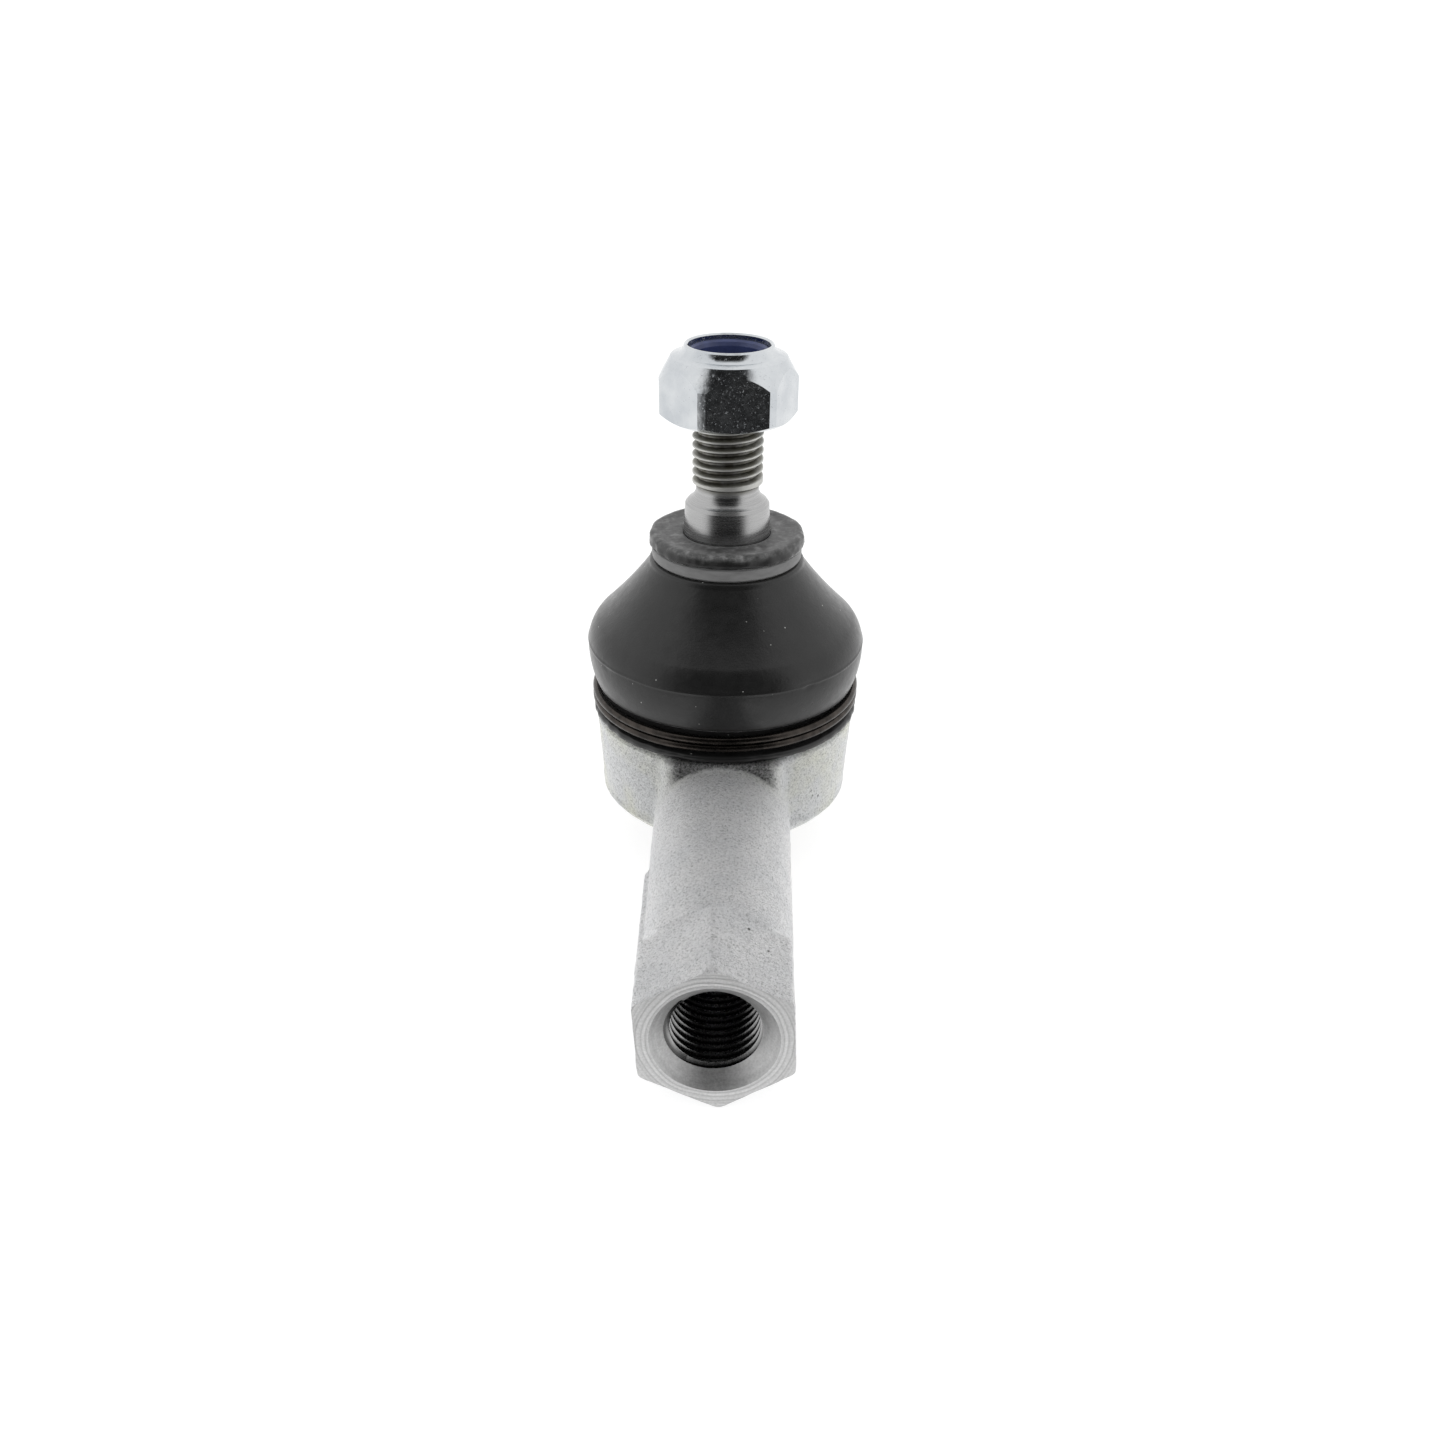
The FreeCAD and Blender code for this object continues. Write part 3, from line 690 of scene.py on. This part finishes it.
def cup_profile():
    """The cup's outside, its rim and a flat top, from the axis at the foot round to the axis above."""
    rim_bottom = SOCKET_HIGH.z - RIM_THICKNESS
    profile = [(0.0, 0.0), (FOOT_RADIUS - FOOT_BEVEL, 0.0), (FOOT_RADIUS, FOOT_BEVEL)]
    profile += [(FOOT_RADIUS + FOOT_FILLET[0], FOOT_FILLET[1])]
    profile += run(profile[-1], CORNER_START, 4)
    profile += arc(CORNER_START, (CUP_WAIST, WAIST_HEIGHT), CORNER_RADIUS, 1, 8)
    profile += run(profile[-1], (CUP_RADIUS, CUP_SHOULDER - CUP_BEVEL), 10)
    profile += [(CUP_RADIUS - CUP_BEVEL, CUP_SHOULDER), (RIM_GROOVE_RADIUS, CUP_SHOULDER)]
    profile += [(RIM_GROOVE_RADIUS, rim_bottom), (RIM_FLANGE_RADIUS, rim_bottom)]
    profile += [(RIM_FLANGE_RADIUS, SOCKET_HIGH.z), (0.0, SOCKET_HIGH.z)]
    return profile


def block_outline():
    """The slab between cup and shank, from above: a little narrower than the shank, with round corners."""
    half, front, radius = BLOCK_HALF, BLOCK_FRONT, BLOCK_CORNER
    outline = [(-half, BLOCK_BACK)]
    outline += [(-half, front + radius)] + arc((-half, front + radius), (radius - half, front), radius, 1, 5)
    outline += [(half - radius, front)] + arc((half - radius, front), (half, front + radius), radius, 1, 5)
    return outline + [(half, BLOCK_BACK)]


def hexagon(flats, turn):
    """A hexagon round the shank's axis, a little stretched sideways, from its width across flats."""
    corner = flats / math.sqrt(3)
    angles = [math.radians(turn + 60 * side) for side in range(6)]
    return [(corner * HEX_SPREAD * math.cos(a), SHANK_AXIS + corner * math.sin(a)) for a in angles]


def thread_cutter():
    """The thread's groove: a tooth-shaped section carried along a helix and closed by a cone at each end."""
    segments = THREAD_SEGMENTS
    steps = int(THREAD_LENGTH / THREAD_PITCH) * segments
    inside = BORE_RADIUS - THREAD_OVERCUT
    rise, fall, foot = THREAD_FLANKS
    tooth = [(0.0, inside), (rise, THREAD_MAJOR), (fall, THREAD_MAJOR), (foot, inside)]
    last, count = steps - 1, len(tooth)
    points, faces = [], []
    for step in range(steps):
        angle = 2 * math.pi * step / segments
        fade = min(1.0, (last - step) / segments)
        for share, radius in tooth:
            size = inside + (radius - inside) * fade
            along = MOUTH + THREAD_START + THREAD_PITCH * (step / segments + share)
            points.append((size * math.cos(angle), along, SHANK_AXIS + size * math.sin(angle)))

    def corner(step, place):
        return step * count + place

    for step in range(last):
        for place in range(count - 1):
            faces.append([corner(step, place), corner(step + 1, place),
                          corner(step + 1, place + 1), corner(step, place + 1)])
    for step in range(last - segments):
        faces.append([corner(step, count - 1), corner(step + 1, count - 1),
                      corner(step + 1 + segments, 0), corner(step + segments, 0)])
    entry = [corner(step, 0) for step in range(segments + 1)]
    entry += [corner(0, place) for place in reversed(range(1, count))]
    leave = [corner(step, count - 1) for step in range(last - segments, last + 1)]
    leave += [corner(last, place) for place in reversed(range(count - 1))]
    for loop, tip in ((entry, points[0][1] - THREAD_CONE), (leave, points[-1][1] + THREAD_CONE)):
        centre = len(points)
        points.append((0.0, tip, SHANK_AXIS))
        faces += [[centre, loop[i], loop[(i + 1) % len(loop)]] for i in range(len(loop))]
    return mesh_piece("thread_cutter", points, faces)


def forging_blank():
    """Cup, slab, shank and hexagon grown together, with the soft corners of a forging."""
    nose = MOUTH + HEX_LENGTH
    shank = [(0.0, nose), (SHANK_MOUTH_RADIUS, nose), (SHANK_RADIUS, SHANK_START), (0.0, SHANK_START)]
    parts = [
        lathe("cup", cup_profile(), CUP_SEGMENTS),
        prism("block", block_outline(), SHANK_AXIS, CUP_SHOULDER, axis="Z"),
        lathe("shank", shank, TURNED_SEGMENTS, axis="Y"),
        prism("nose", hexagon(HEX_FLATS, 90 + HEX_TURN), MOUTH - MOUTH_SPARE, nose + 0.1),
    ]
    blank = joined("forging", parts)
    remesh = blank.modifiers.new("remesh", "REMESH")
    remesh.mode = "VOXEL"
    remesh.voxel_size = VOXEL * MM
    settle(blank)
    for weight, times in zip((everywhere, junctions, loose_corners), SMOOTHINGS):
        soften(blank, weight, times)
    return blank


def everywhere(p):
    """1 at every point."""
    return np.ones(len(p))


def junctions(p):
    """1 where the shank and slab grow out of the cup, and where the round shank becomes a hexagon."""
    x, y, z = p.T
    cup = np.hypot(x, y)
    beside = (1 - ramp(np.abs(cup - CUP_RADIUS), 0.8, 2.6)) * (1 - ramp(np.abs(x), 10.2, 12.0))
    beside *= (y < -8) * (z < 19.6) * ramp(np.abs(x), 6.5, 8.0)
    step = 1 - ramp(np.abs(y - MOUTH - HEX_LENGTH), 0.4, 1.0)
    return np.clip(beside + 0.3 * step, 0, 1)


def loose_corners(p):
    """1 on the slab's top corners and on the hexagon, whose edges the dies leave round."""
    x, y, z = p.T
    slab = ramp(np.abs(x), 6.0, 8.0) * ramp(z, 13.0, 15.0) * (y < -16.5) * (y > -22)
    nose = 0.4 * ramp(MOUTH + HEX_LENGTH - 0.8 - y, 0.0, 1.0)
    return np.clip(slab + nose, 0, 1)


def soften(piece, weight, times):
    """Averages each point with its neighbours, as far as the weight allows."""
    mesh = piece.data
    places = points_of(mesh)
    ends = np.empty(len(mesh.edges) * 2, dtype=np.int64)
    mesh.edges.foreach_get("vertices", ends)
    one, other = ends.reshape(-1, 2).T
    share = (0.5 * weight(places))[:, None]
    degree = np.bincount(ends, minlength=len(places))[:, None]
    for _ in range(times):
        total = np.zeros_like(places)
        for axis in range(3):
            total[:, axis] = np.bincount(one, places[other, axis], len(places))
            total[:, axis] += np.bincount(other, places[one, axis], len(places))
        places += share * (total / degree - places)
    set_points(mesh, places)


def forged_relief(blank):
    """The marks of the dies: a faint ridge on the shank, ledges round the cup, dents and a coarse grain."""
    mesh = blank.data
    places = points_of(mesh)
    normals = vectors_of(mesh, "normal")
    x, y, z = places.T
    wander = noise_at(places * (1, 1, 0), 9)
    wave = noise_at(places, 4)
    fine = noise_at(places, 1.3)
    on_shank = ramp(-y, 21.0, 24.0) * ramp(z, SHANK_AXIS + 3, SHANK_AXIS + 7)
    from_ridge = x - RIDGE_PLACE - wander
    ridge = RIDGE[0] * hill(from_ridge, RIDGE[1]) - RIDGE_SIDES[0] * hill(from_ridge, RIDGE_SIDES[1])
    on_cup = (1 - ramp(-y, 17.0, 19.5)) * ramp(np.hypot(x, y), 14.0, 17.0)
    ledge_height = LEDGE_PLACE + 1.1 * wander + 0.5 * wave
    ledge = LEDGE_STEP * ramp(ledge_height - z, -0.35, 0.35) * ramp(z, 2.0, 5.0)
    lump = LUMPS * wave + LUMPS * fine
    beside = (x < 0) & (y > MOUTH + HEX_LENGTH - 2) & (y < FLASH_START + 2)
    flash = FLASH_HEIGHT * beside * ramp(FLASH_START - y, -0.15, 0.15)
    flash = flash * (1 - ramp(np.abs(z - SHANK_AXIS), 1.3, 2.2))
    machined = (z > CUP_SHOULDER - SMOOTH_RIM) & (np.hypot(x, y) < CUP_RADIUS + 1)
    shift = ridge * on_shank + (ledge - CUP_HOLLOW) * on_cup + lump + flash
    shift[machined] = 0
    set_points(mesh, places + normals * shift[:, None])


def machine(blank):
    """Cuts the mouth, its bevel, the sink, the drilled and tapped hole, and the seat's room."""
    corner = HEX_FLATS / math.sqrt(3) * HEX_SPREAD
    facing = [(0.0, MOUTH - 3), (corner + 2, MOUTH - 3), (corner + 2, MOUTH + MOUTH_BEVEL + 2)]
    facing += [(corner - MOUTH_BEVEL, MOUTH), (0.0, MOUTH)]
    cut(blank, lathe("facing", facing, TURNED_SEGMENTS, axis="Y"))
    cut(blank, corner_nick())
    depth = MOUTH + DRILL_DEPTH
    drilling = [(0.0, MOUTH - 1), (SINK_RADIUS + 1, MOUTH - 1)]
    drilling += [(BORE_RADIUS, MOUTH + SINK_RADIUS - BORE_RADIUS), (BORE_RADIUS, depth)]
    drilling += [(0.0, depth + DRILL_POINT)]
    cut(blank, lathe("drilling", drilling, TURNED_SEGMENTS, axis="Y"))
    cut(blank, thread_cutter())
    floor = PIVOT_HEIGHT - math.sqrt(CAVITY_RADIUS**2 - POLE_FLAT**2)
    room = [(0.0, floor), (POLE_FLAT, floor)]
    room += arc((POLE_FLAT, floor), (CAVITY_RADIUS, PIVOT_HEIGHT), CAVITY_RADIUS, 1, 24)
    room += [(CAVITY_RADIUS, CAVITY_TOP), (MOUTH_CONE[0], CAVITY_TOP)]
    above = SOCKET_HIGH.z + 1
    room += [(MOUTH_CONE[1], SOCKET_HIGH.z), (MOUTH_CONE[1] + MOUTH_CONE_FLARE, above), (0.0, above)]
    cut(blank, lathe("room", room, TURNED_SEGMENTS))


def corner_nick():
    """A wedge that takes the tip off the mouth's top corner."""
    top = SHANK_AXIS + HEX_FLATS / math.sqrt(3)
    low, high = ((MOUTH + reach, top - NICK_DEPTH + reach * NICK_SLOPE) for reach in NICK_REACH)
    outline = (low, high, (high[0], top + 2), (low[0], top + 2))
    points = [(x, y, z) for x in (-NICK_HALF, NICK_HALF) for y, z in outline]
    faces = [(0, 1, 2, 3), (7, 6, 5, 4), (0, 4, 5, 1), (1, 5, 6, 2), (2, 6, 7, 3), (3, 7, 4, 0)]
    return mesh_piece("corner_nick", points, faces)


def mark_machined(piece, turned, tapped):
    """Gives the turned faces and the tapped hole their own materials."""
    piece.data.materials.append(turned)
    piece.data.materials.append(tapped)
    for face in piece.data.polygons:
        x, y, z = face.center / MM
        from_axis = math.hypot(x, z - SHANK_AXIS)
        from_stud = math.hypot(x, y)
        in_depth = MOUTH + 1.0 < y < MOUTH + DRILL_DEPTH + DRILL_POINT + 0.2
        in_hole = in_depth and from_axis < BORE_RADIUS + 0.75
        in_sink = y < MOUTH + 3 and from_axis < SINK_RADIUS + 0.05
        on_mouth = y < MOUTH + 0.02 and abs(face.normal.y) > 0.97
        on_rim = z > CUP_SHOULDER - 0.5 and from_stud < RIM_FLANGE_RADIUS + 0.1
        in_room = z > 2.0 and from_stud < CAVITY_RADIUS + 0.1
        if in_hole:
            face.material_index = 2
        elif in_sink or on_mouth or on_rim or in_room:
            face.material_index = 1


def make_forging():
    """The whole socket, in place of the CAD's."""
    blank = forging_blank()
    forged_relief(blank)
    machine(blank)
    dress(blank, zinc_forging())
    mark_machined(blank, machined_steel(), bore_steel())
    shade(blank, FORGING_SHARP)
    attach(blank, "socket")
    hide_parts("socket_body")


# ---------------------------------------------------------------- the boot


def outer_slope():
    """The slope's outside, from the shoulder up to the neck."""
    return [SHOULDER] + arc(SHOULDER, NECK, SLOPE_HOLLOW, -1, SLOPE_STEPS)


def boot_sections():
    """The boot's two closed outlines: from the bead to just over the shoulder, and on to the flange."""
    slope = outer_slope()
    inner_shoulder = (SHOULDER[0] - BOOT_WALL, SHOULDER[1] - 0.9)
    inner_neck = (NECK[0] - BOOT_WALL, COLLAR_BOTTOM - 0.8)
    inner_slope = [inner_shoulder]
    inner_slope += arc(inner_shoulder, inner_neck, SLOPE_HOLLOW + BOOT_WALL, -1, INNER_SLOPE_STEPS)
    inner_bulge = (BULGE[0] - BOOT_WALL, BULGE[1] - 0.4)
    inner_bottom = (RIM_FLANGE_RADIUS + 0.3, SOCKET_HIGH.z + 0.6)

    low = [(BEAD_RADIUS, BOOT_LOW.z)] + run((BEAD_RADIUS, BOOT_LOW.z), (LIP_RADIUS - 0.25, BOOT_LOW.z), 3)
    low += [(LIP_RADIUS - 0.06, BOOT_LOW.z + 0.07), (LIP_RADIUS, BOOT_LOW.z + 0.25)]
    low += run(low[-1], (LIP_RADIUS, LIP_TOP - 0.4), 2) + [(LIP_RADIUS - 0.12, LIP_TOP - 0.2)]
    low += [(LIP_RADIUS - 0.4, LIP_TOP - 0.1), (GROOVE_RADIUS + 0.3, LIP_TOP), (GROOVE_RADIUS, LIP_TOP + 0.2)]
    low += run(low[-1], (GROOVE_RADIUS, GROOVE_TOP - 0.2), 6)
    low += [(GROOVE_RADIUS + 0.1, GROOVE_TOP), (GROOVE_RADIUS + 0.3, GROOVE_TOP + 0.1)]
    low += [(GROOVE_RADIUS + 0.6, GROOVE_TOP + 0.3)]
    low += arc(low[-1], BULGE, WAIST_ROUND, 1, 26) + arc(BULGE, SHOULDER, BULGE_ROUND, 1, 30)
    low += slope[1 : SPLIT + 1] + inner_slope[SPLIT // 2 :: -1]
    low += arc(inner_shoulder, inner_bulge, BULGE_ROUND - BOOT_WALL, -1, 10)
    low += run(inner_bulge, inner_bottom, 4)
    low += [(inner_bottom[0], BEAD_TOP), (BEAD_RADIUS, BEAD_TOP)]

    top = BOOT_HIGH.z
    flange_edge = (FLANGE_RADIUS - 0.9, top)
    flange_dip = (FLANGE_DIP[0], top - FLANGE_DIP[1])
    hole_edge = (STUD_HOLE_TOP, top - 0.3)
    high = slope[SPLIT:] + [(NECK[0], NECK[1] + 0.2), (NECK[0] - 0.15, RING_SEAT_BOTTOM - 0.15)]
    high += [(NECK[0] - 0.4, RING_SEAT_BOTTOM), (RING_SEAT_RADIUS, RING_SEAT_BOTTOM)]
    high += run(high[-1], (RING_SEAT_RADIUS, FLANGE_BOTTOM), 4)
    high += run(high[-1], (FLANGE_RADIUS - 0.25, FLANGE_BOTTOM), 3)
    high += [(FLANGE_RADIUS - 0.08, FLANGE_BOTTOM + 0.1), (FLANGE_RADIUS, FLANGE_BOTTOM + 0.35)]
    high += run(high[-1], (FLANGE_RADIUS - 0.1, top - 0.5), 4)
    high += [(FLANGE_RADIUS - 0.25, top - 0.2), (FLANGE_RADIUS - 0.55, top - 0.05)]
    high += [flange_edge] + run(flange_edge, flange_dip, 4)
    high += run(flange_dip, (STUD_HOLE_TOP + 0.3, top - 0.15), 4)
    high += [(STUD_HOLE_TOP + 0.02, top - 0.3)] + run(hole_edge, (STUD_HOLE_BOTTOM, COLLAR_BOTTOM), 8)
    high += inner_slope[:SPLIT // 2 - 1 : -1]
    return low, high


def moulded(piece):
    """Marks of the mould and of handling: parting ridge, wavy lip, flash on the flange, shallow dents."""
    mesh = piece.data
    places = points_of(mesh)
    x, y, z = places.T
    angle, radius = np.arctan2(y, x), np.hypot(x, y)
    turns = noise_round(angle, 3, np.zeros(len(z)))
    ripple = noise_round(angle, 14, np.full(len(z), 5.0))
    dents = noise_at(places, 6)
    nicks = noise_at(places, 1.1, (7, 3, 1))
    outer = radius > np.interp(z, *zip(*WALL_MIDDLE))
    height = PARTING_HEIGHT + 0.1 * turns
    grow = PARTING_RIDGE[0] * hill(z - height, PARTING_RIDGE[1]) * outer
    grow += 0.05 * dents * outer * (z > 26.5) * (z < 43.5)
    torn = sum(depth * hill(angle - at, width) for at, width, depth in TORN_PLACES)
    grow -= 0.35 * torn * np.abs(nicks) * outer * hill(z - height, 0.8)
    lip = outer * (z < LIP_TOP - 0.15)
    grow += lip * (-0.1 + 0.12 * turns + 0.16 * ripple).clip(-0.25, 0.0)
    flange = outer * (z > FLANGE_BOTTOM + 0.05) * (radius > FLANGE_RADIUS - 0.6)
    rim = noise_round(angle, 6, z / 1.2)
    grow += flange * (-0.08 + 0.1 * turns + 0.2 * rim + 0.1 * nicks).clip(-0.35, 0.0)
    places[:, 0] *= 1 + grow / radius
    places[:, 1] *= 1 + grow / radius
    top = (z > BOOT_HIGH.z - 0.4) & (radius < FLANGE_RADIUS - 0.3)
    places[:, 2] -= top * (0.04 + 0.05 * dents)
    set_points(mesh, places)


def keep_rest_place(piece):
    """Stores each point's place at rest, so that the rubber's pattern moves with it."""
    attribute = piece.data.attributes.new("rest_place", "FLOAT_VECTOR", "POINT")
    attribute.data.foreach_set("vector", vectors_of(piece.data, "co").ravel())


def make_boot():
    """The boot in two parts, which meet just over the shoulder."""
    rubber = boot_rubber()
    low, high = boot_sections()
    split_height = outer_slope()[SPLIT][1]
    spans = (
        ("boot_bell", low, "socket", "boot", BELL_BEND_START, split_height - BELL_BEND_MARGIN),
        ("boot_neck", high, "boot", "boot_top", split_height, NECK_BEND_END),
    )
    for name, section, below, above, start, end in spans:
        piece = outward(lathe(name, section, BOOT_SEGMENTS, closed=True))
        moulded(piece)
        keep_rest_place(piece)
        dress(piece, rubber)
        shade(piece, BOOT_SHARP)
        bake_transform(piece)
        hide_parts("dust_boot")


# ---------------------------------------------------------------- CAD pieces that stay


def refine_node(name, material, bevel=0.0):
    """Gives a CAD node its finish, and a small round on its edges."""
    node = bpy.data.objects[name]
    for slot in node.material_slots:
        slot.material = material
    if bevel:
        modifier = node.modifiers.new("edge", "BEVEL")
        modifier.width = bevel * MM
        modifier.segments = 2
        modifier.limit_method = "ANGLE"
        modifier.angle_limit = math.radians(BEVEL_ANGLE)


def dress_nodes():
    """Finishes for the CAD nodes whose shapes are right as they are."""
    refine_node("ball_stud", stud_steel())
    refine_node("nut_body", nut_zinc(), bevel=NUT_BEVEL)
    refine_node("nut_insert", nylon())
    refine_node("upper_boot_ring", ring_plastic())
    refine_node("lower_boot_ring", spring_wire())
    refine_node("ball_seat", seat_plastic())
    refine_node("closing_ring", ring_steel())


# ---------------------------------------------------------------- table, light and camera


def stage_card(name, points, faces, material):
    """A piece of the set, from points in metres."""
    mesh = bpy.data.meshes.new(name)
    mesh.from_pydata(points, [], faces)
    mesh.materials.append(material)
    card = placed(name, mesh)
    return card


def table_material():
    """White table: mostly lit from within, as the sweep of a light tent is, so that shadows stay faint."""
    paint = Paint("table", Roughness=0.9)
    paint.colour(paint.steps(paint.grain(60.0), [(0.3, 0.345), (0.7, 0.355)]))
    paint.shader.inputs["Specular IOR Level"].default_value = 0.0
    paint.shader.inputs["Emission Color"].default_value = (1, 1, 1, 1)
    paint.shader.inputs["Emission Strength"].default_value = TABLE_GLOW
    return paint.material


def opening_material():
    """Glows as brightly as the mesh's own shade says."""
    material = bpy.data.materials.new("opening")
    material.use_nodes = True
    tree = material.node_tree
    tree.nodes.clear()
    shade = tree.nodes.new("ShaderNodeVertexColor")
    shade.layer_name = "shade"
    glow = tree.nodes.new("ShaderNodeEmission")
    out = tree.nodes.new("ShaderNodeOutputMaterial")
    tree.links.new(shade.outputs["Color"], glow.inputs["Color"])
    tree.links.new(glow.outputs[0], out.inputs["Surface"])
    return material


def opening(name, spot, turns, levels, shade_of, material):
    """A grid of points at spot(turn, level), lit by shade_of(turn, level), that only reflections see."""
    points = [spot(turn, level) for level in levels for turn in turns]
    width = len(turns)
    faces = [
        (row * width + i, row * width + i + 1, (row + 1) * width + i + 1, (row + 1) * width + i)
        for row in range(len(levels) - 1)
        for i in range(width - 1)
    ]
    card = stage_card(name, points, faces, material)
    colours = card.data.color_attributes.new("shade", "FLOAT_COLOR", "POINT")
    glow = [TENT_LIGHT * shade_of(turn, level) for level in levels for turn in turns]
    colours.data.foreach_set("color", [channel for g in glow for channel in (g, g, g, 1.0)])
    for kind in ("camera", "diffuse", "shadow", "transmission", "volume_scatter"):
        setattr(card, "visible_" + kind, False)


def opening_shade(turn, level):
    """How bright the tent's front is, from 0 to 1, at turn degrees aside and level degrees up."""
    side = ramp(abs(turn), OPENING_DARK_ANGLE, OPENING_HALF_ANGLE)
    height = ramp(level, OPENING_DARK_TOP, OPENING_TOP_ANGLE)
    return float(OPENING_DARKEST + (1 - OPENING_DARKEST) * max(side, height))


def light_tent():
    """A white tent all round, whose dark opening round the camera is seen only in reflections."""
    scene = bpy.context.scene
    world = bpy.data.worlds.new("tent")
    world.use_nodes = True
    background = world.node_tree.nodes["Background"]
    background.inputs["Color"].default_value = (1, 1, 1, 1)
    background.inputs["Strength"].default_value = TENT_LIGHT
    scene.world = world
    corners = [(TABLE_HALF * x, TABLE_HALF * y, 0) for x, y in ((-1, -1), (1, -1), (1, 1), (-1, 1))]
    stage_card("table", corners, [(0, 1, 2, 3)], table_material())
    material = opening_material()
    side = int(OPENING_REACH / OPENING_STEP)
    turns = [step * OPENING_STEP for step in range(-side, side + 1)]
    levels = [step * OPENING_STEP for step in range(int(90 / OPENING_STEP) + 1)]

    def on_dome(turn, level):
        across, up = math.radians(turn), math.radians(level)
        return (
            OPENING_FAR * math.sin(across) * math.cos(up),
            -OPENING_FAR * math.cos(across) * math.cos(up),
            OPENING_FAR * math.sin(up),
        )

    def on_table(turn, reach):
        across = math.radians(turn)
        return (reach * math.sin(across), -reach * math.cos(across), OPENING_LIFT)

    def floor_shade(turn, reach):
        near = 1 - ramp(reach, OPENING_NEAR, OPENING_NEAR + OPENING_FADE)
        return max(opening_shade(turn, 0.0), float(near))

    opening("opening_dome", on_dome, turns, levels, opening_shade, material)
    rings = [OPENING_NEAR + OPENING_RING_GAP * step for step in range(OPENING_RINGS)]
    opening("opening_table", on_table, turns, rings, floor_shade, material)


def place_camera():
    """The photograph's viewpoint, in front of the mouth and above it."""
    data = bpy.data.cameras.new("camera")
    data.sensor_width = 36.0
    data.lens = CAMERA_LENS
    data.clip_start = 0.01
    data.clip_end = 100.0
    camera = placed("camera", data)
    pan, dip = math.radians(CAMERA_PAN), math.radians(CAMERA_DIP)
    forward = Vector((math.sin(pan) * math.cos(dip), math.cos(pan) * math.cos(dip), -math.sin(dip)))
    roll = Matrix.Rotation(math.radians(CAMERA_ROLL), 3, "Z")
    turn = forward.to_track_quat("-Z", "Y").to_matrix() @ roll
    camera.matrix_world = Matrix.Translation(Vector(CAMERA_PLACE) * MM) @ turn.to_4x4()
    bpy.context.scene.camera = camera
    bpy.context.scene.view_settings.view_transform = "Standard"


place_camera()
light_tent()
make_forging()
make_boot()
dress_nodes()
